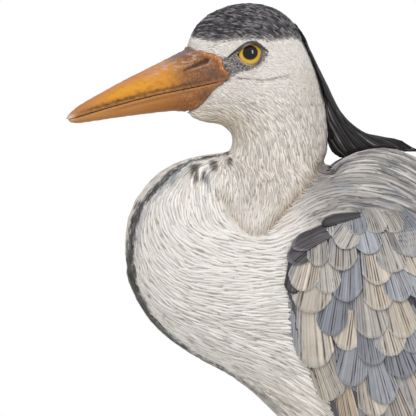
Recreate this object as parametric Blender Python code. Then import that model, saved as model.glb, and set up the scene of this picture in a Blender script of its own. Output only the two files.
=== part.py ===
"""Grey heron garden statue, cast in resin and hand painted, standing with its neck folded.

The bird faces -X with its left side at -Y and +Z up. The origin is on the floor, at the middle of the
statue's bounding box. Body shapes are lofts: rings of points on section planes, joined ring to ring.
The design tables are in millimetres, and every mesh is made in metres.
"""

import math

import bmesh
import bpy
from mathutils import Matrix, Vector

MM = 0.001
SIDES = {"left": -1, "right": 1}
GAP = 0.3  # clearance wherever two cast pieces meet, in mm

# The trunk's axis slopes down and back. A station on it is (distance along the axis, breast or belly
# line below the axis, back line above it, half width, height of the mantle's ridge on the back line).
AXIS_START = Vector((-96.0, 0.0, 628.0))
AXIS_SLOPE = math.radians(50)
TRUNK = [
    (3, -67.2, -31, 16, 0),
    (9, -78.5, -19, 27, 0),
    (16, -86.2, -8, 34, 0),
    (26, -94.8, 1, 41, 0),
    (38, -101.6, 12, 47, 0),
    (51, -105.5, 22, 51, 0),
    (61, -106.7, 31, 53.5, 0),
    (67, -106.8, 44, 55, 10),
    (75, -106.1, 59.5, 57.5, 8),
    (87, -103.6, 71, 60, 5.5),
    (103, -98.2, 79, 62, 3),
    (125, -89.6, 83.5, 63, 1.5),
    (153, -85, 84.5, 63, 0),
    (193, -84.5, 79, 61, 0),
    (233, -80.5, 72, 56, 0),
    (273, -72, 63, 47, 0),
    (303, -63, 51, 38, 0),
    (323, -54, 42, 32, 0),
    (343, -42, 31, 26, 0),
    (363, -28, 19, 19, 0),
    (380, -16, 9, 12, 0),
]
TRUNK_FRONT_POLE = (-0.8, -47)
TRUNK_REAR_POLE = (388, -6)
TRUNK_EGG = 0.14  # how much wider a section is near the back than near the breast

# What the folded wings lie on: the trunk, and past the rump the tail and its coverts.
CLOAK = TRUNK[6:16] + [
    (313, -44, 53, 41, 0),
    (343, -8, 43, 34, 0),
    (373, 4, 31, 28, 0),
    (403, 2, 18, 21, 0),
    (428, -3, 8, 12, 0),
]

# Head and neck stations: crown or nape point, then chin or throat point, as (x, z), and half width.
HEAD_NECK = [
    ((-117, 667), (-119, 640), 7.0),
    ((-114.6, 676.6), (-116, 634.5), 9.0),
    ((-109.2, 686.1), (-109, 630.5), 11.0),
    ((-100.1, 693.7), (-101.5, 628.2), 13.2),
    ((-87.5, 698.6), (-95, 627), 16.4),
    ((-72.2, 699.5), (-90, 624), 20.5),
    ((-58, 694.5), (-88, 621.5), 24.0),
    ((-47, 683.4), (-87.2, 619.5), 26.0),
    ((-38.6, 667), (-87, 617.5), 27.0),
    ((-33, 650), (-87.2, 615.5), 27.0),
    ((-29.8, 633), (-88, 613), 26.5),
    ((-29.4, 616), (-89.5, 609.5), 26.5),
    ((-31.2, 602), (-93, 602), 28.5),
    ((-35, 588), (-97, 592), 31.0),
    ((-44, 573), (-98, 580), 31.0),
    ((-58, 563), (-94, 568), 25.0),
]
HEAD_FRONT_POLE = (-121, 654)
NECK_LOWER_POLE = (-76, 560)
HEAD_EGG = -0.10
HEAD_ENDS_AT = 9.4  # station, counted from 0, where the head is parted from the neck

# Bill stations: culmen point, mouth point, keel point, as (x, z), and half width.
BILL = [
    ((-186.0, 632.8), (-185.4, 630.2), (-184.6, 628.0), 1.6),
    ((-181.0, 637.6), (-180.4, 631.6), (-179.8, 627.6), 3.2),
    ((-171.3, 643.3), (-170.0, 634.4), (-169.0, 629.2), 5.0),
    ((-158.4, 650.6), (-157.0, 638.0), (-155.5, 631.2), 7.0),
    ((-145.2, 657.4), (-143.5, 641.6), (-142.0, 633.0), 9.0),
    ((-130.5, 664.8), (-128.5, 645.2), (-126.5, 634.8), 10.8),
    ((-115.3, 672.4), (-113.0, 648.6), (-113.0, 635.6), 12.6),
    ((-102.0, 676.0), (-100.0, 651.2), (-102.5, 638.0), 14.6),
    ((-90.0, 671.0), (-88.5, 653.6), (-91.0, 645.0), 16.4),
]
BILL_TIP = (-187.5, 630.6)
BILL_ROOT = (-82, 656)
BILL_FULLNESS = 0.85  # power of the section's curve: 1 is a half ellipse, and less is fuller
BILL_END_LIFT = 0.6  # how far each half's tip is from the mouth line
MOUTH_GAP = 0.5
MOUTH_FLAT = 0.4  # the mouth face's flat middle, as a share of the half width

EYE_CENTRE = (-77.3, 667.2)  # x, z
EYE_RADIUS = 9.6
EYE_OFFSET = 12.6  # of the eyeball's centre from the bird's middle plane

# The hanging nape plumes: outer edge point, inner edge point, half width.
CREST = [
    ((-50, 688), (-54, 678), 8.0),
    ((-42, 676), (-45, 666), 10.0),
    ((-36, 664), (-38, 653), 10.5),
    ((-30.5, 652), (-32.5, 640), 10.5),
    ((-24.5, 640), (-31.5, 625), 10.0),
    ((-17.2, 629.5), (-28.8, 613.5), 9.5),
    ((-8, 622.8), (-21, 606.5), 8.5),
    ((2.5, 620.3), (-7, 609), 7.0),
    ((14, 618.4), (8, 610), 4.6),
]
CREST_ROOT = (-55, 688)
CREST_TIP = (27.0, 611.5)

# Edges of the folded wing, as angles round the trunk's section from the belly line (0) to the back
# line (180), at distances along the trunk's axis.
WING_EDGES = [
    (83, 84, 108),
    (90, 77, 116),
    (100, 71, 122),
    (116, 61, 128),
    (134, 52, 135),
    (159, 45, 143),
    (194, 41, 152),
    (232, 42, 160),
    (270, 48, 166),
    (310, 54, 171),
    (350, 58, 173),
    (385, 62, 174),
    (408, 70, 172),
    (428, 84, 166),
]
WING_SINK = 1.2  # how far a wing starts inside the surface it lies on, before it is cut to fit
WING_EDGE_THICKNESS = 2.0
WING_CROWN_THICKNESS = 6.0
WING_TIP_STARTS = 318  # where the dark flight feathers leave the coverts
WING_BANDS = 8  # faces across a wing, from its lower edge to its upper one

TAIL = [
    (322, -8, 12.0, 16),
    (345, 0, 9.0, 21),
    (375, 5, 6.0, 24),
    (405, 4, 4.0, 24),
    (432, 0, 2.4, 19),
]  # distance along the axis, height above it, half thickness, half width

HIP_HEIGHT = 404
ANKLE_HEIGHT = 196
FOOT = (22.5, 27)  # x, distance from the middle plane
STRIDE = {"left": -9.0, "right": 7.0}  # how far each foot is set along X from the pair's middle
# Leg stations: x, distance from the middle plane, z, then half width along X and along Y.
THIGH = [
    (12, 22, 446, 8, 5),
    (15, 26, 430, 16, 9),
    (19, 29, 408, 21, 12.5),
    (23, 30.5, 380, 23, 15),
    (26, 31, 352, 19.5, 14),
    (30, 30.5, 326, 13, 11),
    (34, 29.5, 304, 8.6, 8.0),
]
TIBIA = [
    (34.1, 29.5, 303.7, 6.2, 5.6),
    (37.5, 29, 270, 5.4, 5.0),
    (41, 28.5, 235, 5.2, 4.9),
    (43.5, 28.2, 212, 6.6, 6.2),
    (44.5, 28, ANKLE_HEIGHT + 0.3, 8.2, 7.4),
]
TARSUS = [
    (44.5, 28, ANKLE_HEIGHT, 8.2, 7.4),
    (43, 28, 182, 6.8, 6.2),
    (40, 27.8, 160, 5.2, 4.8),
    (34, 27.5, 115, 4.9, 4.5),
    (28, 27.2, 62, 5.2, 4.8),
    (24, 27, 32, 6.0, 5.6),
    (FOOT[0], FOOT[1], 16.5, 7.0, 6.6),
]
# Toes: name, direction from straight ahead (outwards positive, in degrees), length without the claw.
TOES = [("inner", -17, 60), ("middle", 8, 74), ("outer", 34, 64), ("hind", 172, 44)]
TOE_ROOT_RADIUS = 5.2
TOE_TIP_RADIUS = 3.0
TOE_SQUASH = 0.86  # a toe's middle is this share of its radius over the floor, so its sole is flat
TOE_ROOT_LIFT = 1.6
KNUCKLE_SWELL = 0.10
CLAW_LENGTH = 11.0
CLAW_ROOT_RADIUS = 2.85
CLAW_TIP_RADIUS = 0.55
CLAW_ARCH = 1.3
# The foot's pad: height, then half width along X and along Y.
PAD = [(16.2, 7.6, 7.2), (8, 9.0, 8.4), (0, 7.6, 7.2)]

PAINT = {  # linear colour, roughness
    "white_plumage": ((0.70, 0.66, 0.62), 0.7),
    "black_plumage": ((0.035, 0.033, 0.036), 0.6),
    "wing_plumage": ((0.33, 0.31, 0.29), 0.65),
    "flight_plumage": ((0.09, 0.09, 0.10), 0.6),
    "bill_orange": ((0.55, 0.24, 0.035), 0.4),
    "eye_glass": ((0.02, 0.015, 0.01), 0.08),
    "leg_ochre": ((0.24, 0.17, 0.09), 0.5),
    "claw_horn": ((0.05, 0.04, 0.035), 0.4),
}


def clear_scene():
    for obj in list(bpy.data.objects):
        bpy.data.objects.remove(obj)


def paint(name):
    """The painted finish of that name, made on first use."""
    material = bpy.data.materials.get(name)
    if material is None:
        colour, roughness = PAINT[name]
        material = bpy.data.materials.new(name)
        material.use_nodes = True
        shader = material.node_tree.nodes["Principled BSDF"]
        shader.inputs["Base Color"].default_value = (*colour, 1)
        shader.inputs["Roughness"].default_value = roughness
        shader.inputs["Metallic"].default_value = 0
    return material


def smooth_rows(table, x):
    """The row of a table at x, which is the table's first column, on a smooth curve through its rows."""
    last = len(table) - 1
    i = max(0, min(last - 1, sum(row[0] <= x for row in table) - 1))

    def slope(k, c):
        a, b = max(k - 1, 0), min(k + 1, last)
        return (table[b][c] - table[a][c]) / (table[b][0] - table[a][0])

    low, high = table[i], table[i + 1]
    span = high[0] - low[0]
    t = (x - low[0]) / span
    h1, h2 = 2 * t**3 - 3 * t**2 + 1, t**3 - 2 * t**2 + t
    h3, h4 = 3 * t**2 - 2 * t**3, t**3 - t**2
    return [
        low[c] * h1 + slope(i, c) * span * h2 + high[c] * h3 + slope(i + 1, c) * span * h4
        for c in range(1, len(low))
    ]


def numbered(stations):
    """Stations of points and numbers as plain rows, with the station's number in front."""
    rows = []
    for k, station in enumerate(stations):
        flat = [k]
        for item in station:
            flat += item if isinstance(item, tuple) else [item]
        rows.append(flat)
    return rows


def steps(first, last, count):
    return [first + (last - first) * k / (count - 1) for k in range(count)]


def in_plane(point):
    """A point of the bird's middle plane, from (x, z)."""
    return Vector((point[0], 0, point[1]))


def section_point(low, high, half_width, angle, egg=0.0, ridge=0.0):
    """A point on a section, at an angle from its low point (0) over the right side to its high one (180)."""
    along = -math.cos(angle)
    y = half_width * math.sin(angle) * (1 + egg * along)
    point = (low + high) / 2 + (high - low) / 2 * along + Vector((0, y, 0))
    return point + (high - low).normalized() * ridge * max(0, along) ** 3


def section_ring(low, high, half_width, count, egg=0.0, ridge=0.0):
    turn = 2 * math.pi / count
    return [section_point(low, high, half_width, k * turn, egg, ridge) for k in range(count)]


def add_object(name, mesh_source, finish, helper=False):
    """A new object from a bmesh in millimetres. A helper only cuts or joins others."""
    bmesh.ops.recalc_face_normals(mesh_source, faces=mesh_source.faces)
    mesh = bpy.data.meshes.new(name)
    mesh_source.to_mesh(mesh)
    mesh_source.free()
    mesh.transform(Matrix.Scale(MM, 4))
    mesh.materials.append(paint(finish))
    mesh.shade_smooth()
    obj = bpy.data.objects.new(name, mesh)
    bpy.context.scene.collection.objects.link(obj)
    if helper:
        obj.hide_render = True
        obj.display_type = "WIRE"
    return obj


def loft(name, rings, finish, poles=(None, None), helper=False):
    """A closed solid over rings of points. A pole closes an end to a point, and without one it is flat."""
    bm = bmesh.new()
    loops = [[bm.verts.new(p) for p in ring] for ring in rings]
    count = len(rings[0])
    for one, two in zip(loops, loops[1:]):
        for k in range(count):
            n = (k + 1) % count
            bm.faces.new((one[k], one[n], two[n], two[k]))
    for loop, pole in zip((loops[0], loops[-1]), poles):
        if pole is None:
            bm.faces.new(loop)
            continue
        tip = bm.verts.new(pole)
        for k in range(count):
            bm.faces.new((loop[k], loop[(k + 1) % count], tip))
    return add_object(name, bm, finish, helper)


def grown_copy(obj, clearance):
    """A hidden cutter: the object's own mesh, moved out by the clearance."""
    bm = bmesh.new()
    bm.from_mesh(obj.data)
    bm.normal_update()
    for vert in bm.verts:
        vert.co += vert.normal * clearance * MM
    for vert in bm.verts:
        vert.co /= MM
    return add_object(f"{obj.name}_clearance", bm, obj.data.materials[0].name, helper=True)


def combine(obj, other, operation):
    modifier = obj.modifiers.new(f"{operation.lower()}_{other.name}", "BOOLEAN")
    modifier.operation = operation
    modifier.solver = "EXACT"
    modifier.object = other


def make_room(obj, *neighbours, clearance=GAP):
    """Cuts the neighbours' shapes, with the clearance round them, out of the object."""
    for neighbour in neighbours:
        name = f"{neighbour.name}_clearance"
        cutter = bpy.data.objects.get(name) or grown_copy(neighbour, clearance)
        combine(obj, cutter, "DIFFERENCE")


def axis_point(distance, height=0.0):
    """A point of the middle plane, by distance along the trunk's axis and height above it."""
    down, across = math.sin(AXIS_SLOPE), math.cos(AXIS_SLOPE)
    along = Vector((across, 0, -down))
    up = Vector((down, 0, across))
    return AXIS_START + along * distance + up * height


def body_section(stations, distance):
    """The section's low and high points, half width and ridge height at a distance along the axis."""
    low, high, half_width, ridge = smooth_rows(stations, distance)
    return axis_point(distance, low), axis_point(distance, high), half_width, ridge


def trunk_ring(distance):
    low, high, half_width, ridge = body_section(TRUNK, distance)
    return section_ring(low, high, half_width, 32, TRUNK_EGG, ridge)


def trunk_distances(first, last):
    """The distances of the trunk's rings, which the wings share so that their hidden faces follow it."""
    rings = [3, 9, 16, 26, 38, 51, 61, 64, 67, 72, 78, 85, 93, 104, 120, 138, 160, 183, 206, 230, 254, 278]
    rings += [301, 316, 332, 348, 363, 380, 397, 413, 428]
    return [d for d in rings if first <= d <= last]


def make_trunk():
    """Breast and trunk, cast as one egg shape and parted where the folded neck's lower loop ends."""
    parting = 51
    front = [trunk_ring(d) for d in trunk_distances(0, parting - 1) + [parting - GAP]]
    rear = [trunk_ring(d) for d in trunk_distances(parting, 380)]
    breast = loft("breast", front, "white_plumage", (axis_point(*TRUNK_FRONT_POLE), None))
    trunk = loft("trunk", rear, "white_plumage", (None, axis_point(*TRUNK_REAR_POLE)))
    return breast, trunk


def head_neck_ring(station, count=24):
    crown_x, crown_z, chin_x, chin_z, half_width = smooth_rows(numbered(HEAD_NECK), station)
    return section_ring(
        in_plane((chin_x, chin_z)), in_plane((crown_x, crown_z)), half_width, count, HEAD_EGG
    )


def make_head_and_neck():
    """The head down to the throat, and the upright part of the folded neck below it."""
    last = len(HEAD_NECK) - 1
    parting = 0.02  # of a station, which is the clearance between the two
    head_rings = [head_neck_ring(s) for s in steps(0, HEAD_ENDS_AT - parting, 19)]
    neck_rings = [head_neck_ring(s) for s in steps(HEAD_ENDS_AT, last, 11)]
    head = loft("head", head_rings, "white_plumage", (in_plane(HEAD_FRONT_POLE), None))
    neck = loft("neck", neck_rings, "white_plumage", (None, in_plane(NECK_LOWER_POLE)))
    return head, neck


def bill_half(name, rows, upper):
    """One mandible: a dome over the mouth line, or a keel under it, with a nearly flat mouth face."""
    rings = []
    for culmen_x, culmen_z, mouth_x, mouth_z, keel_x, keel_z, half_width in rows:
        far = in_plane((culmen_x, culmen_z) if upper else (keel_x, keel_z))
        mouth = in_plane((mouth_x, mouth_z + (MOUTH_GAP if upper else 0)))
        rise = far - mouth
        ring = []
        for angle in steps(0, math.pi, 9):
            bulge = math.sin(angle) ** BILL_FULLNESS
            ring.append(mouth + rise * bulge + Vector((0, half_width * math.cos(angle), 0)))
        ring.append(mouth + Vector((0, -half_width * MOUTH_FLAT, 0)))
        ring.append(mouth + Vector((0, half_width * MOUTH_FLAT, 0)))
        rings.append(ring)
    lift = Vector((0, 0, BILL_END_LIFT if upper else -BILL_END_LIFT))
    poles = (in_plane(BILL_TIP) + lift, in_plane(BILL_ROOT) + 2 * lift)
    return loft(name, rings, "bill_orange", poles)


def make_bill():
    last = len(BILL) - 1
    table = numbered(BILL)
    rows = [smooth_rows(table, s) for s in steps(0, last, 15)]
    return bill_half("bill_upper", rows, True), bill_half("bill_lower", rows, False)


def make_eye(side):
    bm = bmesh.new()
    bmesh.ops.create_uvsphere(bm, u_segments=16, v_segments=9, radius=EYE_RADIUS)
    quarter_turn = Matrix.Rotation(math.pi / 2, 3, "X")  # a pole of the ball looks out at the pupil
    bmesh.ops.rotate(bm, verts=bm.verts, matrix=quarter_turn, cent=(0, 0, 0))
    centre = in_plane(EYE_CENTRE) + Vector((0, SIDES[side] * EYE_OFFSET, 0))
    bmesh.ops.translate(bm, verts=bm.verts, vec=centre)
    return add_object(f"eye_{side}", bm, "eye_glass")


def make_crest():
    table = numbered(CREST)
    rings = []
    for station in steps(0, len(CREST) - 1, 13):
        outer_x, outer_z, inner_x, inner_z, half_width = smooth_rows(table, station)
        rings.append(
            section_ring(in_plane((inner_x, inner_z)), in_plane((outer_x, outer_z)), half_width, 12)
        )
    return loft("crest", rings, "black_plumage", (in_plane(CREST_ROOT), in_plane(CREST_TIP)))


def cloak_surface(distance, angle, side, height):
    """A point over the surface that the wings lie on, raised square to it within its own section."""
    low, high, half_width, ridge = body_section(CLOAK, distance)

    def on_section(a):
        point = section_point(low, high, half_width, a, TRUNK_EGG, ridge)
        return Vector((point.x, side * point.y, point.z))

    tiny = 0.01
    around = on_section(angle + tiny) - on_section(angle - tiny)
    normal = (axis_point(1) - axis_point(0)).cross(around).normalized() * -side
    return on_section(angle) + normal * height


def wing_fullness(lengthwise):
    """How full the wing is along its length: fullest near the shoulder, and thin at both ends."""
    front_lift, rear_stop = 0.08, 0.98  # shares of the swell at the shoulder and at the tip
    swell = front_lift + lengthwise * (rear_stop - front_lift)
    return math.sin(math.pi * swell**0.6) ** 0.5


def wing_sheet(name, side, distances, finish):
    """A stretch of folded wing: a shell that follows the trunk, thin at its rim and thicker inside it."""
    first, last = WING_EDGES[0][0], WING_EDGES[-1][0]
    rings = []
    for distance in distances:
        low, high = (math.radians(a) for a in smooth_rows(WING_EDGES, distance))
        fullness = wing_fullness((distance - first) / (last - first))
        outer, inner = [], []
        for share in steps(0, 1, WING_BANDS + 1):
            angle = low + (high - low) * share
            crown = math.sin(math.pi * share) ** 0.6 * fullness
            thickness = WING_EDGE_THICKNESS + (WING_CROWN_THICKNESS - WING_EDGE_THICKNESS) * crown
            outer.append(cloak_surface(distance, angle, side, thickness))
            inner.append(cloak_surface(distance, angle, side, -WING_SINK))
        rings.append(outer + inner[::-1])
    return loft(name, rings, finish)


def make_wing(side_name):
    """Coverts and shoulder in one piece, and the dark flight feathers that show past them in another."""
    side = SIDES[side_name]
    tip_parting = WING_TIP_STARTS
    ends = trunk_distances(WING_EDGES[0][0], tip_parting) + [tip_parting - GAP]
    tips = [tip_parting] + trunk_distances(tip_parting, 428)
    coverts = wing_sheet(f"wing_{side_name}", side, sorted(ends), "wing_plumage")
    flight = wing_sheet(f"wing_tip_{side_name}", side, tips, "flight_plumage")
    return coverts, flight


def make_tail():
    rings = []
    for distance, height, half_thickness, half_width in TAIL:
        low = axis_point(distance, height - half_thickness)
        high = axis_point(distance, height + half_thickness)
        rings.append(section_ring(low, high, half_width, 14))
    tip_distance, tip_height, *_ = TAIL[-1]
    poles = (axis_point(TAIL[0][0] - 6, TAIL[0][1]), axis_point(tip_distance + 6, tip_height - 1))
    return loft("tail", rings, "wing_plumage", poles)


def leg_rings(stations, side_name, count):
    """Level rings down a leg. The knee end follows the trunk, and the foot end takes the stride."""
    side = SIDES[side_name]
    rings = []
    for x, y, z, half_x, half_y in stations:
        share = max(0, HIP_HEIGHT - z) / HIP_HEIGHT
        centre = Vector((x + STRIDE[side_name] * share**1.5, side * y, z))
        turn = 2 * math.pi / count
        rings.append(
            [
                centre + Vector((half_x * math.cos(k * turn), half_y * math.sin(k * turn), 0))
                for k in range(count)
            ]
        )
    return rings


def make_leg(side_name):
    thigh = loft(f"thigh_{side_name}", leg_rings(THIGH, side_name, 14), "white_plumage")
    loft(f"tibia_{side_name}", leg_rings(TIBIA, side_name, 10), "leg_ochre")
    loft(f"tarsus_{side_name}", leg_rings(TARSUS, side_name, 10), "leg_ochre")
    return thigh


def ground_ring(centre, forward, radius, count=8):
    """An upright ring across a toe, flat where it would reach under the floor."""
    across = Vector((-forward.y, forward.x, 0))
    ring = []
    for k in range(count):
        turn = 2 * math.pi * (k + 0.5) / count
        point = centre + across * radius * math.cos(turn) + Vector((0, 0, radius * math.sin(turn)))
        point.z = max(point.z, 0.0)
        ring.append(point)
    return ring


def make_foot(side_name):
    """A pad under the tarsus with four toes joined to it, and a claw in front of each toe."""
    side = SIDES[side_name]
    sole_rings = leg_rings([(*FOOT, *station) for station in PAD], side_name, 12)
    foot = loft(f"foot_{side_name}", sole_rings, "leg_ochre")
    centre = sum(sole_rings[-1], Vector()) / len(sole_rings[-1])
    for toe_name, degrees, length in TOES:
        heading = math.radians(degrees)
        forward = Vector((-math.cos(heading), side * math.sin(heading), 0))
        rings = []
        for share in steps(0, 1, 6):
            knuckle = 1 + KNUCKLE_SWELL * math.cos(share * math.pi * 4)
            radius = (TOE_ROOT_RADIUS + (TOE_TIP_RADIUS - TOE_ROOT_RADIUS) * share) * knuckle
            height = radius * TOE_SQUASH + TOE_ROOT_LIFT * (1 - share) ** 2
            middle = centre + forward * length * share + Vector((0, 0, height))
            rings.append(ground_ring(middle, forward, radius))
        toe = loft(f"toe_{toe_name}_{side_name}", rings, "leg_ochre", helper=True)
        combine(foot, toe, "UNION")
        make_claw(f"claw_{toe_name}_{side_name}", centre + forward * (length + GAP), forward)
    return foot


def make_claw(name, root, forward):
    """A short curved claw: rings that shrink and sink from the toe's end to the floor."""
    rings = []
    for share in steps(0, 1, 4):
        radius = CLAW_ROOT_RADIUS + (CLAW_TIP_RADIUS - CLAW_ROOT_RADIUS) * share
        lift = CLAW_ARCH * math.sin(math.pi * share) + radius * 0.9
        middle = root + forward * CLAW_LENGTH * share + Vector((0, 0, lift))
        rings.append(ground_ring(middle, forward, radius, 6))
    return loft(name, rings, "claw_horn")


def stand_at_origin():
    """Moves the statue so that the origin is on the floor, at the middle of its bounding box."""
    bpy.context.view_layer.update()
    shown = [obj for obj in bpy.data.objects if not obj.hide_render]
    corners = [obj.matrix_world @ Vector(c) for obj in shown for c in obj.bound_box]
    middle = (min(c.x for c in corners) + max(c.x for c in corners)) / 2
    for obj in bpy.data.objects:
        obj.location.x -= middle


def build():
    clear_scene()
    breast, trunk = make_trunk()
    head, neck = make_head_and_neck()
    bill = make_bill()
    eyes = [make_eye(side) for side in SIDES]
    crest = make_crest()
    tail = make_tail()
    wings = [piece for side in SIDES for piece in make_wing(side)]
    thighs = [make_leg(side) for side in SIDES]
    for side in SIDES:
        make_foot(side)
    make_room(head, *bill, *eyes)
    make_room(neck, breast, trunk)
    make_room(crest, head, neck, trunk)
    for wing in wings:
        make_room(wing, trunk)
    make_room(tail, trunk, *wings)
    for thigh in thighs:
        make_room(thigh, trunk, *wings)
    stand_at_origin()


build()
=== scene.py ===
"""A painted cast resin heron: its carved plumage, bill, eyes and legs, made round the CAD solids.

Lengths are in millimetres until a mesh becomes a finished piece. The bird faces -X, its left side
is at -Y, and +Z is up. Places on the body are given in side view, as (x, z).
"""

import math

import bmesh
import bpy
import numpy as np
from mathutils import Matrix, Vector
from mathutils.bvhtree import BVHTree
from mathutils.kdtree import KDTree


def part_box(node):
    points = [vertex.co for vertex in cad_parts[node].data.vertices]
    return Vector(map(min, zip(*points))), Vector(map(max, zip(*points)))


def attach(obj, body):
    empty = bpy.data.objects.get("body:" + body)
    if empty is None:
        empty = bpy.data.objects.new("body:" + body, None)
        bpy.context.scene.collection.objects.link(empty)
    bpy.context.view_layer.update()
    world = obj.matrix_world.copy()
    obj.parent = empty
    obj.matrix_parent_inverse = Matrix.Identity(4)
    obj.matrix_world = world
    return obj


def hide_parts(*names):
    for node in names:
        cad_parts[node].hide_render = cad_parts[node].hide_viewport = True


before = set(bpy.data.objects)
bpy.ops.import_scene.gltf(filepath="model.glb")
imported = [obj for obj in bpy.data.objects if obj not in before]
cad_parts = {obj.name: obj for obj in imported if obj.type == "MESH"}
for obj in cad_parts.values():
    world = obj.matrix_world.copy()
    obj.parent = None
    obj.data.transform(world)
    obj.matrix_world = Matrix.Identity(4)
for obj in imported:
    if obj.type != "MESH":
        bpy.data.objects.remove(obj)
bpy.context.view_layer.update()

# -----------------------------------------------------------------------------
# The body casting. One skin runs over the head, neck, breast, trunk and thighs, as the mould made
# it. The plumage is carved on it, so it lies under the solids' surface by that carving's depth.
# -----------------------------------------------------------------------------
MM = 0.001
SIDES = {"left": -1, "right": 1}
BODY = ("head", "neck", "breast", "trunk", "thigh_left", "thigh_right")
SEAM_FILL = 0.4  # closes the gaps between neighbouring solids before they are fused
SKIN_FACE = 1.95
CARVING_DEPTH = 0.45
BILL_STUB = -112  # the skin stops inside the bill, at this x
HEAD_FROM = 640  # the head is above this height
AXIS_START = (-96, 628)  # the upper end of the trunk's axis


def poured(bm, name):
    """A mesh with what a bmesh holds. The bmesh is freed."""
    mesh = bpy.data.meshes.new(name)
    bm.to_mesh(mesh)
    bm.free()
    return mesh


def add_to(whole, part):
    """Adds one bmesh to another, and frees it."""
    mesh = poured(part, "part")
    whole.from_mesh(mesh)
    bpy.data.meshes.remove(mesh)


def put(name, data):
    """A new object in the scene."""
    thing = bpy.data.objects.new(name, data)
    bpy.context.scene.collection.objects.link(thing)
    return thing


def finished(blank):
    """The mesh of a scratch object, with its modifiers applied. The object is removed."""
    graph = bpy.context.evaluated_depsgraph_get()
    mesh = bpy.data.meshes.new_from_object(blank.evaluated_get(graph))
    bpy.data.objects.remove(blank)
    return mesh


def gather(nodes, grow=0.0):
    """The CAD nodes as one bmesh in millimetres, welded, with each surface moved out by `grow`."""
    whole = bmesh.new()
    for node in nodes:
        solid = bmesh.new()
        solid.from_mesh(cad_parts[node].data)
        bmesh.ops.scale(solid, vec=(1 / MM,) * 3, verts=solid.verts)
        bmesh.ops.remove_doubles(solid, verts=solid.verts, dist=0.002)
        solid.normal_update()
        for vert in solid.verts:
            vert.co += vert.normal * grow
        add_to(whole, solid)
    return whole


def recast(source, face_size, smoothing=0):
    """One closed skin over everything in a bmesh, with even faces of the given size."""
    mesh = poured(source, "recast")
    blank = put("recast", mesh)
    remesh = blank.modifiers.new("remesh", "REMESH")
    remesh.mode = "VOXEL"
    remesh.voxel_size = face_size
    smooth = blank.modifiers.new("smooth", "SMOOTH")
    smooth.factor = 0.5
    smooth.iterations = smoothing
    fused = finished(blank)
    bpy.data.meshes.remove(mesh)
    return fused


def read(mesh, what="co"):
    """The places of a mesh's vertices, or their normals."""
    values = np.empty(len(mesh.vertices) * 3, np.float32)
    mesh.vertices.foreach_get(what, values)
    return values.reshape(-1, 3).astype(float)


def write(mesh, points):
    """Moves a mesh's vertices to new places."""
    mesh.vertices.foreach_set("co", points.astype(np.float32).ravel())
    mesh.update()


def sink(mesh, depth):
    """Moves a surface in by a depth."""
    write(mesh, read(mesh) - read(mesh, "normal") * depth)


def unit(vectors):
    """Vectors brought to a length of 1."""
    return vectors / np.maximum(np.linalg.norm(vectors, axis=-1, keepdims=True), 1e-9)


def level_with(way, normals):
    """Directions turned to lie along the surface that has these normals."""
    return unit(way - normals * (way * normals).sum(1, keepdims=True))


def ramp(low, high, value):
    """0 below `low`, 1 above `high`, and a smooth rise between them."""
    t = np.clip((value - low) / (high - low), 0, 1)
    return t * t * (3 - 2 * t)


def bell(distance, width):
    """1 at no distance, falling away evenly on both sides, down to a third at `width`."""
    return np.exp(-((distance / width) ** 2))


def from_line(x, z, line):
    """Distance to an open line in side view, and which side of it: positive on its left hand."""
    best = np.full(np.shape(x), 1e9)
    side = np.zeros(np.shape(x))
    for (ax, az), (bx, bz) in zip(line, line[1:]):
        dx, dz = bx - ax, bz - az
        t = np.clip(((x - ax) * dx + (z - az) * dz) / (dx * dx + dz * dz), 0, 1)
        gap = np.hypot(x - ax - t * dx, z - az - t * dz)
        cross = dx * (z - az) - dz * (x - ax)
        nearer = gap < best
        best = np.where(nearer, gap, best)
        side = np.where(nearer, np.sign(cross), side)
    return best, side


def inside(x, z, outline):
    """Signed distance to a closed outline in side view, positive inside it."""
    crossings = np.zeros(np.shape(x), int)
    ring = outline + outline[:1]
    for (ax, az), (bx, bz) in zip(ring, ring[1:]):
        if az == bz:
            continue
        hit = ((az > z) != (bz > z)) & (x < (bx - ax) * (z - az) / (bz - az) + ax)
        crossings += hit
    gap, _ = from_line(x, z, ring)
    return np.where(crossings % 2 == 1, gap, -gap)


def at(pairs, value):
    """A value read off a line through (position, value) pairs."""
    places, values = zip(*pairs)
    return np.interp(value, places, values)


# Where the bill's horn ends and the plumage begins, from the forehead round the gape to the chin.
BILL_EDGE = [
    (-140, 690), (-115.5, 673.9), (-110.6, 671.2), (-106, 670.2), (-98.8, 668), (-95.2, 666.2),
    (-94, 660.4), (-90.9, 657.2), (-91, 654), (-95.2, 651.4), (-101, 646.2), (-104.6, 640.8),
    (-108.8, 636.6), (-113.6, 635.4), (-118, 634.8), (-130, 620), (-240, 620), (-240, 690),
]
EYE = (-78.8, 668.7)  # middle of the eye's opening
EYE_RIM_DEPTH = 4.0
# The opening between the lids: a rounded almond, cut flat above by the thick upper lid.
EYE_RIM = [
    (-86.1, 668.3), (-85, 666.5), (-82.7, 664.2), (-80.4, 662.8), (-78.1, 662.3), (-75.8, 662.7),
    (-73.9, 664.1), (-72.7, 666.4), (-72.3, 669.1), (-71.6, 671.5), (-73.2, 673.6), (-75.1, 674.8),
    (-77.9, 674.9), (-80.1, 674), (-82.7, 671.9), (-84.7, 669.8),
]
# The fold under the neck's loop, where its plumage meets the chest and then the mantle.
NECK_FOLD = [
    (-99, 582), (-93, 571), (-87.5, 563.8), (-81.5, 560.3), (-75.5, 561.2), (-69, 566.6),
    (-61.5, 575), (-53.3, 583.3), (-44.5, 591.5), (-36, 600),
]
NAPE = (-30.5, 602)  # where the back of the neck's loop meets the mantle
THROAT = (-108, 628)  # the small swelling under the chin
CHEEK_FOLD = [(-89, 656), (-86, 654.5), (-70, 653), (-56, 656)]


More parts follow.
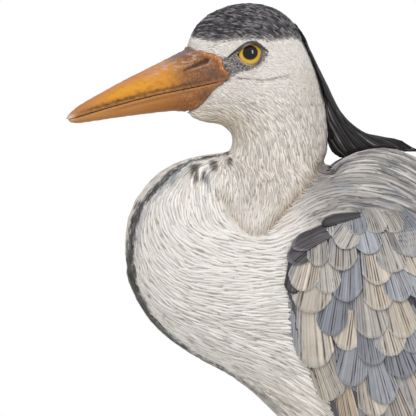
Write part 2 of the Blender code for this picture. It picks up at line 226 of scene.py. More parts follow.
def axis_height(points):
    """Height above the trunk's sloping axis, which starts in the breast and ends under the
    rump."""
    slope = math.radians(50)
    x, z = points[:, 0] - AXIS_START[0], points[:, 2] - AXIS_START[1]
    return x * math.sin(slope) + z * math.cos(slope)


def bare(points):
    """How far inside the bill's horn a place on the head is."""
    return inside(points[:, 0], points[:, 2], BILL_EDGE)


def eye_distance(points):
    """Distance from the middle of the eye's opening, in side view."""
    return np.hypot(points[:, 0] - EYE[0], points[:, 2] - EYE[1])


def sculpt_body(points):
    """How far the skin stands out from the fused solids, before the plumage is carved."""
    x, _, z = points.T
    out = np.full(len(points), -SEAM_FILL - CARVING_DEPTH)
    flank = ramp(8, 20, np.abs(points[:, 1]))
    gap, side = from_line(x, z, NECK_FOLD)
    loop = np.where(side > 0, 2.8 * ramp(0, 5.0, gap) * (1 - ramp(5, 28, gap)), 0)
    sharp = 0.5 + 0.5 * ramp(-88, -66, x)
    out += flank * sharp * (loop - 1.3 * bell(gap, 3.2))
    out -= 4.2 * bell(np.hypot(x - NAPE[0], z - NAPE[1]), 4.6)
    out += 1.0 * ramp(676, 690, z) + 0.9 * bell(np.hypot(x - THROAT[0], z - THROAT[1]), 8.0)
    out += 0.9 * ramp(-20, -32, axis_height(points)) * (z > 440) * (z < 540)
    gap, side = from_line(x, z, CHEEK_FOLD)
    out -= 0.45 * bell(gap, 0.8) * (side < 1) * ramp(6, 10, np.abs(points[:, 1]))
    out -= 1.6 * ramp(-0.6, 1.0, bare(points))
    beside = -inside(x, z, EYE_RIM)
    out += 0.75 * (1 - ramp(2.0, 5.0, beside))
    out -= 0.5 * bell(beside - 5.5, 2.4)
    return out


def carve_eye_socket(points):
    """Sinks the skin behind each eye's ball, so that only its lids stand round it."""
    depth = EYE_RIM_DEPTH * ramp(-0.2, 0.6, inside(points[:, 0], points[:, 2], EYE_RIM))
    points[:, 1] -= np.sign(points[:, 1]) * depth


def cut_off(bm, x, facing):
    """Cuts a bmesh across at `x`, closes the cut, and drops what is on the facing side."""
    parts = bm.verts[:] + bm.edges[:] + bm.faces[:]
    cut = bmesh.ops.bisect_plane(
        bm, geom=parts, plane_co=(x, 0, 0), plane_no=(facing, 0, 0), clear_outer=True
    )
    edges = [g for g in cut["geom_cut"] if isinstance(g, bmesh.types.BMEdge)]
    bmesh.ops.holes_fill(bm, edges=edges)


def body_skin():
    """The fused skin, with its folds and swellings, run on under the bill and the eyes."""
    source = gather(BODY, SEAM_FILL)
    filling = gather(("bill_upper", "bill_lower", "eye_left", "eye_right"), SEAM_FILL)
    cut_off(filling, BILL_STUB, -1)
    add_to(source, filling)
    mesh = recast(source, SKIN_FACE, smoothing=8)
    refine_face(mesh)
    points, normals = read(mesh), read(mesh, "normal")
    points = points + normals * sculpt_body(points)[:, None]
    carve_eye_socket(points)
    write(mesh, points)
    return mesh


def refine_face(mesh):
    """Smaller faces round the eyes and the gape, where the lids and the bare skin need them."""
    bm = bmesh.new()
    bm.from_mesh(mesh)
    for reach in (15, 11):
        near = [
            e for e in bm.edges
            if math.hypot(e.verts[0].co.x - EYE[0], e.verts[0].co.z - EYE[1]) < reach
        ]
        bmesh.ops.subdivide_edges(bm, edges=near, cuts=1, use_grid_fill=True, smooth=0.6)
    bmesh.ops.triangulate(bm, faces=[f for f in bm.faces if len(f.verts) > 4])
    bm.to_mesh(mesh)
    bm.free()


class Surface:
    """A triangulated mesh in millimetres that pieces are laid on. Where an outward way is given,
    only the faces turned that way are used."""

    def __init__(self, mesh, outward=None, flat=None):
        mesh.calc_loop_triangles()
        corners = np.empty(len(mesh.loop_triangles) * 3, np.int32)
        mesh.loop_triangles.foreach_get("vertices", corners)
        self.faces = corners.reshape(-1, 3)
        self.points = read(mesh)
        self.normals = read(mesh, "normal")
        self.flat = flat
        if outward is not None:
            turned = self.normals[self.faces].mean(1) @ np.array(outward) > -0.35
            self.faces = self.faces[turned]
            self.flat = flat[turned] if flat is not None else None
        self.tree = BVHTree.FromPolygons(self.points.tolist(), self.faces.tolist())

    def mix(self, values, face, place):
        """Values held at the vertices, smoothly mixed at places on faces."""
        a, b, c = (self.points[self.faces[face, k]] for k in range(3))
        whole = np.cross(b - a, c - a)
        size = np.maximum((whole * whole).sum(1), 1e-12)
        mixed_values = 0
        for k, (p, q) in enumerate(((b, c), (c, a), (a, b))):
            share = np.clip((np.cross(q - p, place - p) * whole).sum(1) / size, 0, 1)
            mixed_values = mixed_values + values[self.faces[face, k]] * share[:, None]
        return mixed_values

    def nearest(self, places):
        """The closest places on the surface, their normals and their faces."""
        found = [self.tree.find_nearest(p) for p in places.tolist()]
        spot = np.array([f[0] for f in found])
        face = np.array([f[2] for f in found])
        return spot, unit(self.mix(self.normals, face, spot)), face

    def cast(self, starts, direction):
        """Where rays meet the surface, and whether they do."""
        spot, hit = starts.copy(), np.zeros(len(starts), bool)
        for k, start in enumerate(starts.tolist()):
            place, _, _, _ = self.tree.ray_cast(start, direction)
            if place is not None:
                spot[k], hit[k] = place, True
        return spot, hit


skin_mesh = body_skin()
skin = Surface(skin_mesh)

# -----------------------------------------------------------------------------
# The paint on the plumage. Off-white, slate and black acrylic is brushed on by hand, and a thinned
# brown wash then settles in the carving. The flat varnish over it shows only soft highlights.
# -----------------------------------------------------------------------------


def tone(code):
    """The linear colour of an sRGB hex code."""
    srgb = np.array([int(code[k : k + 2], 16) for k in (0, 2, 4)]) / 255
    return np.where(srgb <= 0.04045, srgb / 12.92, ((srgb + 0.055) / 1.055) ** 2.4)


CROWN_LINE = [
    (-116, 679.5), (-111, 679.2), (-98, 675.9), (-83, 677.8), (-68, 676.6), (-52, 678.3),
    (-44, 676),
]
LORE_PATCH = [
    (-96.5, 666.6), (-90.8, 667.3), (-86.3, 670.3), (-80.6, 675.9), (-75.2, 676.5), (-70.4, 672.9),
    (-68, 671.4), (-68, 668), (-70.6, 664.7), (-74.3, 660.6), (-78.8, 659.4), (-83.3, 658.2),
    (-88.5, 656), (-93, 655), (-95, 661),
]
# The two dark rows down the front of the neck's loop, which draw together under the breast.
STRIPE = [
    (-89.5, 610.8), (-94.8, 609), (-107.9, 607), (-113.3, 605.1), (-119.8, 602.7), (-123.2, 600.7),
    (-128.4, 596.9), (-133.6, 591.8), (-139, 586.2), (-143, 581.4), (-146.3, 576.4),
    (-148.4, 571.6), (-149.2, 566.3), (-149.8, 560.3), (-150.6, 554.3), (-151.4, 548.3),
    (-153, 542), (-153, 536), (-152, 527), (-148, 516), (-135, 498), (-115, 482), (-96, 472),
    (-80, 461), (-62, 446), (-57.6, 456), (-77, 471.8), (-92.8, 481.7), (-110.6, 491.2),
    (-124.8, 502), (-135, 512.8), (-139, 518.6), (-142, 524), (-144.3, 529.3), (-146, 535.3),
    (-146.8, 541.3), (-146.8, 547.3), (-146.7, 553.2), (-146.3, 559.2), (-145.7, 565.1),
    (-144.4, 569.9), (-142.6, 574.6), (-140.4, 579.2), (-136.6, 583.8), (-132, 588),
    (-127.2, 593.4), (-122.9, 597.3), (-118.6, 600.6), (-113.6, 603.3), (-107.9, 605.2),
    (-99.3, 606.9), (-94.8, 607.4), (-89.5, 609.2),
]
# Dark flecks beside them, on the loop's upper side, and fainter blue-grey ones.
FLECKS = [
    [(-114.8, 602.3), (-108.8, 602.6), (-112.3, 592.4), (-114.9, 594.8)],
    [(-107.3, 599.5), (-106.3, 598.3), (-108, 592), (-109.3, 593.6)],
    [(-103.3, 604.4), (-100.8, 605.6), (-98.6, 604.3), (-99.1, 600.7), (-101.4, 598),
     (-103.7, 600.7)],
    [(-93.1, 605.6), (-90.1, 607), (-89.2, 605.6), (-91.2, 601.5), (-92.4, 602.3)],
]
BLUE_FLECKS = [
    [(-106.3, 598.5), (-104.4, 593.6), (-105.5, 588), (-107.6, 592.4)],
    [(-125.4, 596.8), (-121.8, 598.6), (-124.5, 591.8), (-125.2, 588.6), (-127.3, 590)],
]


def wobble(points, size, seed=0.0):
    """A smooth, repeatable waver from -1 to 1 over the surface, with waves about `size` long."""
    p = points * (2 * math.pi / size) + seed
    x, y, z = p[:, 0], p[:, 1], p[:, 2]
    first = np.sin(x + 1.7 * np.sin(0.7 * z + seed)) * np.sin(1.1 * z + 1.3 * np.sin(0.8 * x))
    second = np.sin(1.9 * x - 2.3 * z + 1.1 * y) * 0.5
    return np.clip(first + second * np.cos(0.9 * y + seed), -1, 1)


def mixed(under, over, share):
    """One colour brushed over another, by its share."""
    return under + (over - under) * np.asarray(share)[..., None]


def mantle_share(points):
    """Where the grey of the mantle and back covers the white."""
    x, _, z = points.T
    gap, side = from_line(x, z, NECK_FOLD)
    behind = np.where(side < 0, 1.0, 0.0) * ramp(0, 2, gap)
    front = ramp(-62, -33, x + 0.4 * (z - 575)) * ramp(552, 562, z) * behind
    rear = ramp(-4, 14, axis_height(points)) * (z < HEAD_FROM)
    return np.where(x > -32, rear, front)


def oval(x, z, middle, reach):
    """A soft oval spot: 1 in its middle, falling away over its reach."""
    return np.exp(-(((x - middle[0]) / reach[0]) ** 2) - (((z - middle[1]) / reach[1]) ** 2))


def coats(points, base, *layers):
    """Paint built up in coats: a base colour, then others brushed over it by their share."""
    paint = np.broadcast_to(tone(base), points.shape)
    for over, share in layers:
        paint = mixed(paint, tone(over) if isinstance(over, str) else over, share)
    return paint


def plumage(points):
    """The paint on the body at places on it, before the wash."""
    x, y, z = points.T
    wide = np.abs(y)
    flank = ramp(10, 22, wide)
    upper = ramp(600, HEAD_FROM, z)
    on_head = z > HEAD_FROM
    loop = ramp(558, 582, z) * (1 - upper) * 0.9 * ramp(-106, -82, x)
    nape = ramp(-62, -34, x) * ramp(590, 606, z) * (1 - ramp(655, 668, z))
    gap, side = from_line(x, z, NECK_FOLD)
    fold_ends = 0.3 + 0.7 * ramp(-84, -66, x)
    grey = mantle_share(points)
    # the dark rows, with ragged sides and worn places
    ragged = 0.5 * wobble(points, 4.0) + 0.4 * wobble(points, 11, 3.0)
    deep = inside(x, z, STRIPE)
    row = ramp(-0.5, 0.6, deep + ragged) * (1 - 0.45 * ramp(-96, -70, x) * (z < 520))
    row *= 1 - 0.6 * (1 - ramp(0.8, 2.6, wide)) * (1 - ramp(545, 565, z))
    beside = bell(deep + 1.4, 1.2) * (wide > 12) * ramp(532, 556, z) * (x < -110)
    brushed = bell(deep + 3, 4) * ramp(0.0, 0.6, wobble(points, 5, 2.0))
    brushed = brushed * ramp(-92, -76, x) * (z < 500)
    between = (1 - row) * (1 - ramp(6, 12, wide)) * (x < -100) * (z > 500) * (z < 620)
    chipped = ramp(0.35, 0.75, wobble(points * (1, 1, 0.6), 2.6, 4.0)) * (1 - ramp(0.8, 2.2, deep))
    worn = ramp(-0.2, 0.6, wobble(points, 3.1, 6.0)) * (1 - ramp(490, 512, z))
    # the head's bare skin, the fold in its cheek and its cap
    bare_skin = inside(x, z, LORE_PATCH) + 0.6 * wobble(points, 2.2) + 0.4 * wobble(points, 5, 1.0)
    mottled = coats(points, "6b6566", ("b3aba7", ramp(0.0, 0.8, wobble(points, 2.1, 2.0))))
    crease, _ = from_line(x, z, CHEEK_FOLD)
    crown = z - at(CROWN_LINE, x) + 0.7 * wobble(points, 4.5) - 60 * (x > -43) * (wide > 10)
    cap = ramp(-0.5, 0.5, crown) * on_head * (x > -119) * (1 - 0.3 * (1 - ramp(0, 3.5, crown)))
    hind = ramp(-52, -46, x) * (1 - ramp(8, 11, wide)) * ramp(636, 646, z)
    return coats(
        points, "ece8e3",
        ("e2ddd7", upper),
        ("d5cdc5", loop),
        # painted shade: a beige oval that darkens the throat under the chin
        ("d6cab8", oval(x, z, (-96, 626), (20, 11))),
        ("d2c9c0", nape * 0.7),
        ("e4ddd2", (1 - ramp(440, 505, z)) * 0.6),
        # painted shade: a soft beige band on the loop's side of the neck's fold
        ("c3b6a5", 0.55 * bell(gap, 6.0) * (side > 0) * flank),
        ("a8967f", 0.75 * fold_ends * bell(gap, 1.7) * flank),
        ("a9a5a2", grey),
        ("c6c1bb", grey * ramp(0.2, 0.9, wobble(points, 23)) * 0.6),
        ("8a8d95", grey * ramp(0.1, 0.9, wobble(points, 31, 2.0)) * 0.6),
        ("9ca1a9", 0.5 * beside),
        ("8d8378", 0.6 * brushed),
        ("b9a68c", between * (0.35 + 0.3 * ragged)),
        ("3f3c3b", row * (0.95 - 0.5 * chipped) * (1 - 0.55 * worn)),
        *(("55504d", fleck_share(x, z, fleck, ragged) * 0.9) for fleck in FLECKS),
        *(("8b9099", fleck_share(x, z, fleck, ragged) * 0.75) for fleck in BLUE_FLECKS),
        (mottled, ramp(-0.5, 0.5, bare_skin) * on_head * 0.97),
        ("8d8378", bell(crease, 0.5) * on_head * ramp(6, 10, wide) * 0.8),
        ("434045", np.maximum(cap, hind) * 0.97),
    )


def fleck_share(x, z, fleck, ragged):
    """Where a fleck's paint lies, with its ragged edge."""
    return ramp(-0.9, 0.6, inside(x, z, fleck) + 0.6 * ragged)


def node(tree, kind, links=(), **settings):
    """Adds a shader node, with its settings and input values by name, and its links."""
    made = tree.nodes.new(kind)
    for name, value in settings.items():
        if hasattr(made, name):
            setattr(made, name, value)
        else:
            made.inputs[name.replace("_", " ")].default_value = value
    for source, target in links:
        tree.links.new(source, made.inputs[target])
    return made


def finish(name, **settings):
    """A new material with its shader's inputs set by name. Returns its node tree and shader
    too."""
    material = bpy.data.materials.new(name)
    material.use_nodes = True
    shader = material.node_tree.nodes["Principled BSDF"]
    for key, value in settings.items():
        shader.inputs[key.replace("_", " ")].default_value = value
    return material, material.node_tree, shader


def varnished(name, roughness, coat=0.0, grain=0.45, depth=0.12, mottle=0.10, coat_roughness=0.18,
              specular=0.35):
    """Brushed acrylic under varnish. The colour is the surface's own paint, with a faint mottle,
    and `grain` is the size in millimetres of the brush's texture."""
    material, tree, shader = finish(
        name, Roughness=roughness, Specular_IOR_Level=specular, Coat_Weight=coat,
        Coat_Roughness=coat_roughness,
    )
    place = node(tree, "ShaderNodeTexCoord")
    paint = node(tree, "ShaderNodeAttribute", attribute_name="paint")
    blotch = node(
        tree, "ShaderNodeTexNoise", [(place.outputs["Object"], "Vector")],
        Scale=1 / (3.0 * MM), Detail=4.0, Roughness=0.6,
    )
    shade = node(
        tree, "ShaderNodeMapRange", [(blotch.outputs["Fac"], "Value")],
        To_Min=1 - mottle, To_Max=1 + mottle,
    )
    tinted = node(
        tree, "ShaderNodeVectorMath", [(paint.outputs["Color"], 0), (shade.outputs[0], "Scale")],
        operation="SCALE",
    )
    tree.links.new(tinted.outputs["Vector"], shader.inputs["Base Color"])
    fine = node(
        tree, "ShaderNodeTexNoise", [(place.outputs["Object"], "Vector")],
        Scale=1 / (grain * MM), Detail=3.0,
    )
    bump = node(
        tree, "ShaderNodeBump", [(fine.outputs["Fac"], "Height")],
        Strength=0.5, Distance=depth * MM,
    )
    tree.links.new(bump.outputs["Normal"], shader.inputs["Normal"])
    return material


def colour(mesh, values):
    """Stores linear colours, one for all vertices or one for each, which the paints read."""
    layer = mesh.color_attributes.new("paint", "FLOAT_COLOR", "POINT")
    full = np.ones((len(mesh.vertices), 4), np.float32)
    full[:, :3] = np.clip(values, 0, 1)
    layer.data.foreach_set("color", full.ravel())


def place_piece(name, mesh, material, slot, *nodes):
    """Turns a mesh in millimetres into a finished piece that stands for the named nodes."""
    mesh.transform(((MM, 0, 0, 0), (0, MM, 0, 0), (0, 0, MM, 0), (0, 0, 0, 1)))
    mesh.materials.clear()
    mesh.materials.append(material)
    mesh.shade_smooth()
    piece = put(name, mesh)
    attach(piece, "root")
    if nodes:
        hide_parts(*nodes)


def unwrap(mesh):
    """Unwraps a mesh in charts, as its OFBake map. Returns the middle of each triangle on it."""
    flat = put("flat", mesh)
    bpy.context.view_layer.objects.active = flat
    flat.select_set(True)
    mesh.uv_layers.new(name="OFBake")
    bpy.ops.object.mode_set(mode="EDIT")
    bpy.ops.mesh.select_all(action="SELECT")
    bpy.ops.uv.smart_project(angle_limit=math.radians(66), island_margin=0.002)
    bpy.ops.object.mode_set(mode="OBJECT")
    bpy.data.objects.remove(flat)
    mesh.calc_loop_triangles()
    loops = np.empty(len(mesh.loop_triangles) * 3, np.int32)
    mesh.loop_triangles.foreach_get("loops", loops)
    uv = np.empty(len(mesh.loops) * 2, np.float32)
    mesh.uv_layers["OFBake"].uv.foreach_get("vector", uv)
    return uv.reshape(-1, 2)[loops.reshape(-1, 3)].mean(1)


matte_paint = varnished("brushed_acrylic_flat_varnish", 0.62)
skin.flat = unwrap(skin_mesh)
wash = tone("8b7660")
ground = plumage(skin.points)
deep_wash = 0.22 + 0.4 * ramp(0.1, 0.8, wobble(skin.points, 19, 2.0))
colour(skin_mesh, mixed(ground, ground * wash, deep_wash))
place_piece("body_skin", skin_mesh, matte_paint, "white_plumage", *BODY)

# -----------------------------------------------------------------------------
# The carved plumage: thousands of thin raised barbs and locks, cut into the pattern with a gouge
# before it was moulded. Each lies along the body as feathers do, over the tail of the last one.
# -----------------------------------------------------------------------------

# How the feathers lie in side view: x, z and the angle they point along. 0 is back, -90 is down.
LIE = [
    (-102, 684, 5), (-78, 687, -5), (-57, 681, -35), (-48, 672, -55), (-35, 636, -80),
    (-72, 657, -5), (-54, 657, -25), (-84, 645, -20), (-99, 639, -20), (-108, 632, -15),
    (-84, 633, -35), (-69, 642, -35), (-54, 639, -50), (-42, 633, -70), (-66, 624, -60),
    (-81, 625, -55), (-81, 615, -85), (-66, 612, -85), (-48, 612, -85), (-87, 666, -5),
    (-99, 663, -15), (-57, 669, -20), (-93, 603, -88), (-111, 594, -80), (-143, 578, -78),
    (-131, 573, -60), (-111, 578, -75), (-102, 579, -75), (-92, 582, -90), (-81, 590, -90),
    (-66, 587, -85), (-126, 560, -40), (-137, 555, -50), (-144, 545, -60), (-134, 545, -30),
    (-111, 557, -15), (-96, 560, -10), (-81, 552, 0), (-111, 537, 3), (-126, 530, -25),
    (-141, 525, -45), (-103, 531, 0), (-88, 525, 10), (-73, 519, 12), (-111, 522, -10),
    (-126, 515, -20), (-81, 510, 0), (-134, 510, -35), (-66, 575, -110), (-58, 567, 45),
    (-55, 564, 35), (-74, 481, -25), (-61, 468, -35), (-96, 495, -25), (-111, 492, -38),
    (-53, 579, 50), (-44, 590, 45), (-31, 596, 35), (-22, 600, 20), (-35, 582, 30), (-27, 592, 20),
    (-22, 581, 5), (0, 607, -5), (33, 599, -35), (69, 564, -50), (110, 510, -55), (140, 440, -60),
    (0, 560, -30), (40, 520, -45), (60, 470, -50), (100, 450, -55), (-20, 440, -50),
    (20, 420, -60), (45, 400, -75), (44, 340, -85), (80, 400, -60), (110, 360, -60),
    (140, 330, -55), (-60, 400, -45),
    # down the dark rows
    (-104, 607, -172), (-118, 603.5, -155), (-129, 596, -140), (-138, 587, -130),
    (-145, 578, -115), (-149, 566, -97), (-150, 552, -92), (-151, 538, -85), (-149, 524, -66),
    (-142, 510, -52), (-130, 495, -43), (-112, 481, -38), (-92, 470, -37), (-75, 458, -42),
]
LIE_REACH = 3.0  # a place this near a given angle takes almost all of it


def crosses(x, z, ax, az, line):
    """Whether the straight way from each place to (ax, az) crosses a line."""
    crossed = np.zeros(len(x), bool)
    for (bx, bz), (cx, cz) in zip(line, line[1:]):
        d1 = (ax - x) * (bz - z) - (az - z) * (bx - x)
        d2 = (ax - x) * (cz - z) - (az - z) * (cx - x)
        d3 = (cx - bx) * (z - bz) - (cz - bz) * (x - bx)
        d4 = (cx - bx) * (az - bz) - (cz - bz) * (ax - bx)
        crossed |= (d1 * d2 < 0) & (d3 * d4 < 0)
    return crossed


def lie_of(points, normals):
    """The way the feathers point at places on the body, along its surface."""
    x, _, z = points.T
    along = np.zeros((len(points), 2))
    for cx, cz, angle in LIE:
        weight = 1 / ((x - cx) ** 2 + (z - cz) ** 2 + LIE_REACH**2) ** 1.6
        weight[crosses(x, z, cx, cz, NECK_FOLD)] *= 0.002  # next to nothing beyond the fold
        along[:, 0] += weight * math.cos(math.radians(angle))
        along[:, 1] += weight * math.sin(math.radians(angle))
    along = unit(along)
    outward = np.sign(points[:, 1]) * 0.35 * np.abs(along[:, 0]) * ramp(0, 3, np.abs(points[:, 1]))
    lie = np.stack([along[:, 0], outward, along[:, 1] - 0.08], 1)
    return level_with(lie, normals)


skin_lie = lie_of(skin.points, skin.normals)


def lock_size(points):
    """Width and length of the locks at places on the body."""
    x, _, z = points.T
    on_head = z > HEAD_FROM
    mantle = mantle_share(points)
    # where, width and length, each line over those before it
    zones = [
        ((z < 618) & (x < -40), 1.8, 18.0),
        (mantle > 0.5, 2.1, 28.0),
        ((mantle > 0.5) & (x < -10), 2.2, 34.0),
        ((z > 560) & (from_line(x, z, NECK_FOLD)[1] > 0) & (x < -30), 1.5, 9.5),
        (z > 618, 1.25, 7.0),
        (on_head, 0.95, 4.2),
        (on_head & (z > at(CROWN_LINE, x)), 1.0, 4.4),
        (on_head & (inside(x, z, LORE_PATCH) > 0), 0.8, 2.0),
        ((inside(x, z, STRIPE) > -2.5) & (z > 470), 1.1, 8.0),
        (z < 400, 1.5, 10.0),
    ]
    width, length = np.full(len(points), 1.9), np.full(len(points), 20.0)
    for chosen, wide, long in zones:
        width[chosen], length[chosen] = wide, long
    near_eye = ramp(6, 16, eye_distance(points))
    return width * (0.8 + 0.2 * near_eye), length * (0.6 + 0.4 * near_eye)


def sow(surface, lie, sizes, allowed, tries, seed, across=0.66, along=0.38):
    """Roots spread evenly over a surface, closer where the locks are small. Each keeps its own
    share of a lock's width and length clear of others."""
    rng = np.random.default_rng(seed)
    corners = surface.points[surface.faces]
    middle = corners.mean(1)
    width, length = sizes(middle)
    first, second = corners[:, 1] - corners[:, 0], corners[:, 2] - corners[:, 0]
    area = np.linalg.norm(np.cross(first, second), axis=1)
    weight = area / (width * length) * allowed(middle)
    face = rng.choice(len(area), tries, p=weight / weight.sum())
    r1, r2 = np.sqrt(rng.random(tries))[:, None], rng.random(tries)[:, None]
    a, b, c = corners[face, 0], corners[face, 1], corners[face, 2]
    place = a * (1 - r1) + b * r1 * (1 - r2) + c * r1 * r2
    normal = unit(surface.mix(surface.normals, face, place))
    way = unit(surface.mix(lie, face, place))
    side = np.cross(way, normal)
    width, length = sizes(place)
    tree = KDTree(tries)
    for k, p in enumerate(place.tolist()):
        tree.insert(p, k)
    tree.balance()
    free = np.ones(tries, bool)
    chosen = []
    for k in range(tries):
        if not free[k]:
            continue
        chosen.append(k)
        near = np.array([n[1] for n in tree.find_range(place[k].tolist(), length[k] * along)])
        gap = place[near] - place[k]
        close = ((gap @ side[k]) / (width[k] * across)) ** 2
        close += ((gap @ way[k]) / (length[k] * along)) ** 2
        free[near[close < 1]] = False
    chosen = np.array(chosen)
    return place[chosen], normal[chosen], face[chosen], way[chosen]


LOCK_STATIONS = 6  # points along a lock, with its root and tip
LOCK_ACROSS = (-0.5, -0.3, 0.3, 0.5)  # the four points of its section, as shares of its width
LOCK_SPREAD = (0.0, 0.8, 1.0, 0.95, 0.62, 0.0)  # its width at each station, as a share
LOCK_RISE = (0.0, 0.62, 0.95, 1.0, 0.8, 0.12)  # and its height
RING = len(LOCK_ACROSS)
LOCK_VERTICES = 2 + RING * (LOCK_STATIONS - 2)


def lay(surface, lie, roots, length, swing):
    """Paths that start at the roots and follow the lie over the surface: places and normals along
    each. `swing` makes each path waver by its own angle, in radians."""
    place, normal, _, way = roots
    places, normals = [place], [normal]
    step = (length / (LOCK_STATIONS - 1))[:, None]
    for k in range(LOCK_STATIONS - 1):
        bend = swing * math.cos(1.5 * k)
        turned = way * np.cos(bend)[:, None] + np.cross(normal, way) * np.sin(bend)[:, None]
        place, normal, face = surface.nearest(place + turned * step)
        way = level_with(unit(surface.mix(lie, face, place)), normal)
        places.append(place)
        normals.append(normal)
    return np.stack(places, 1), np.stack(normals, 1)


def raise_locks(places, normals, width, height):
    """The points of each lock, sharp at both ends, with two low edges and a flat top between."""
    side = unit(np.cross(np.gradient(places, axis=1), normals))
    points = np.empty((len(places), LOCK_VERTICES, 3))
    points[:, 0] = places[:, 0] - normals[:, 0] * 0.3
    points[:, -1] = places[:, -1] + normals[:, -1] * (height * LOCK_RISE[-1])[:, None]
    for k in range(1, LOCK_STATIONS - 1):
        for n, across in enumerate(LOCK_ACROSS):
            up = (height * LOCK_RISE[k] if n in (1, 2) else np.full(len(places), -0.35))[:, None]
            edge = (width * LOCK_SPREAD[k] * across)[:, None]
            spot = places[:, k] + side[:, k] * edge + normals[:, k] * up
            points[:, 1 + RING * (k - 1) + n] = spot
    return points


def lock_faces():
    """The faces of one lock, pointing outwards."""
    faces = []
    for k in range(LOCK_STATIONS - 1):
        here, there = 1 + RING * (k - 1), 1 + RING * k
        for n in range(RING):
            m = (n + 1) % RING
            if k == 0:
                faces.append((0, there + m, there + n))
            elif k == LOCK_STATIONS - 2:
                faces.append((here + n, here + m, LOCK_VERTICES - 1))
            else:
                faces.append((here + n, here + m, there + m, there + n))
    return faces


def joined(name, points, faces, paint, flat):
    """One mesh of many like pieces: points and paints are (piece, vertex, 3), and `flat` is each
    vertex's place on the OFBake map."""
    count, size = points.shape[:2]
    corners = np.array([corner for face in faces for corner in face])
    lengths = np.array([len(face) for face in faces])
    mesh = bpy.data.meshes.new(name)
    mesh.vertices.add(count * size)
    mesh.vertices.foreach_set("co", points.astype(np.float32).ravel())
    loops = (np.arange(count)[:, None] * size + corners).ravel()
    mesh.loops.add(len(loops))
    mesh.loops.foreach_set("vertex_index", loops.astype(np.int32))
    totals = np.tile(lengths, count)
    mesh.polygons.add(len(totals))
    mesh.polygons.foreach_set("loop_start", (np.cumsum(totals) - totals).astype(np.int32))
    mesh.update(calc_edges=True)
    colour(mesh, paint.reshape(-1, 3))
    layer = mesh.uv_layers.new(name="OFBake")
    layer.uv.foreach_set("vector", flat.reshape(-1, 2)[loops].astype(np.float32).ravel())
    return mesh


PATCH = 0.003  # the width of a lock's patch on the OFBake map


def patches(flat, across, along):
    """Each vertex's place on the map: a small patch round its lock's root."""
    spread = np.stack([across, along], -1) * PATCH
    middle = np.clip(flat, PATCH, 1 - PATCH)
    return middle[:, None, :] + spread[None, :, :]


def lock_patch():
    """Where a lock's vertices lie in its patch, across and along."""
    across, along = [0.0], [-0.5]
    for k in range(1, LOCK_STATIONS - 1):
        across += LOCK_ACROSS
        along += [k / (LOCK_STATIONS - 1) - 0.5] * RING
    return np.array(across + [0.0]), np.array(along + [0.5])


def lock_paint(places, paint, rng, low_share):
    """Light on the tops, and the wash down between the locks. Each lock is brushed a little its
    own way, and some are scored by a full line of wash."""
    count = len(places)
    whole = paint(places[:, LOCK_STATIONS // 2])
    dark = 1 - ramp(0.08, 0.3, whole.mean(1))
    x, z = places[:, 0, 0], places[:, 0, 2]
    grey = mantle_share(places[:, 0])
    neck = ramp(572, 600, z) * (1 - ramp(635, 655, z)) * (x < -30)
    belly = (1 - ramp(510, 540, z)) * (x < -30)
    uneven = 0.04 + 0.13 * neck + 0.08 * belly + 0.34 * grey + dark * np.where(z > 660, 1.0, 0.4)
    shades = np.exp(np.clip(rng.normal(0, 1, count), -2, 1.1) * uneven)
    worn = 0.6 + 0.8 * ramp(-0.7, 0.7, wobble(places[:, 0], 37, 1.0))
    worn = worn + 1.4 * neck + 0.7 * grey
    low_share = low_share * worn * (0.35 + 1.6 * rng.random(count) ** 2)
    scored = rng.random(count) < 0.1 + 0.42 * grey + 0.5 * neck + 0.12 * belly
    low_share = np.clip(np.where(scored, 1.5, low_share), 0, 1.5)[:, None]
    painted = np.empty((count, LOCK_VERTICES, 3))
    for k in range(1, LOCK_STATIONS - 1):
        own = paint(places[:, k])
        here = (own * 0.7 + whole * 0.3) * shades[:, None]
        low = np.maximum(here * (1 - low_share) + here * wash * low_share * 0.9, here * 0.12)
        top = here + (here.mean(1, keepdims=True) < 0.2) * 0.012
        first = 1 + RING * (k - 1)
        painted[:, first : first + RING] = np.stack([low, top, top, low * 0.96], 1)
    painted[:, 0] = painted[:, 1]
    painted[:, -1] = painted[:, -4] * 0.92
    return painted


def locks(surface, lie, roots, width, length, height, swing, paint, rng, low_share=0.50):
    """Locks raised over a surface: their points, their paints and their places on its map."""
    places, normals = lay(surface, lie, roots, length, swing)
    points = raise_locks(places, normals, width, height)
    flat = patches(surface.flat[roots[2]], *lock_patch())
    return points, lock_paint(places, paint, rng, low_share), flat


WING_SOLIDS = ("wing_left", "wing_right", "wing_tip_left", "wing_tip_right")
wings = Surface(recast(gather(WING_SOLIDS), 4.0))


def open_ground(points):
    """1 where locks grow on the body, 0 on the bill's horn and in the eyes."""
    x, _, z = points.T
    crease, _ = from_line(x, z, CHEEK_FOLD)
    clear = (crease > 0.7) & (inside(x, z, EYE_RIM) < -1.3) | (z < HEAD_FROM)
    return (clear & ((bare(points) < -0.4) | (z < 620))).astype(float)


def under_wing(place, normal):
    """Whether a wing covers a place on the body."""
    covered = np.zeros(len(place), bool)
    for k, (p, n) in enumerate(zip(place.tolist(), normal.tolist())):
        covered[k] = wings.tree.ray_cast(p, n, 8.0)[0] is not None
    return covered


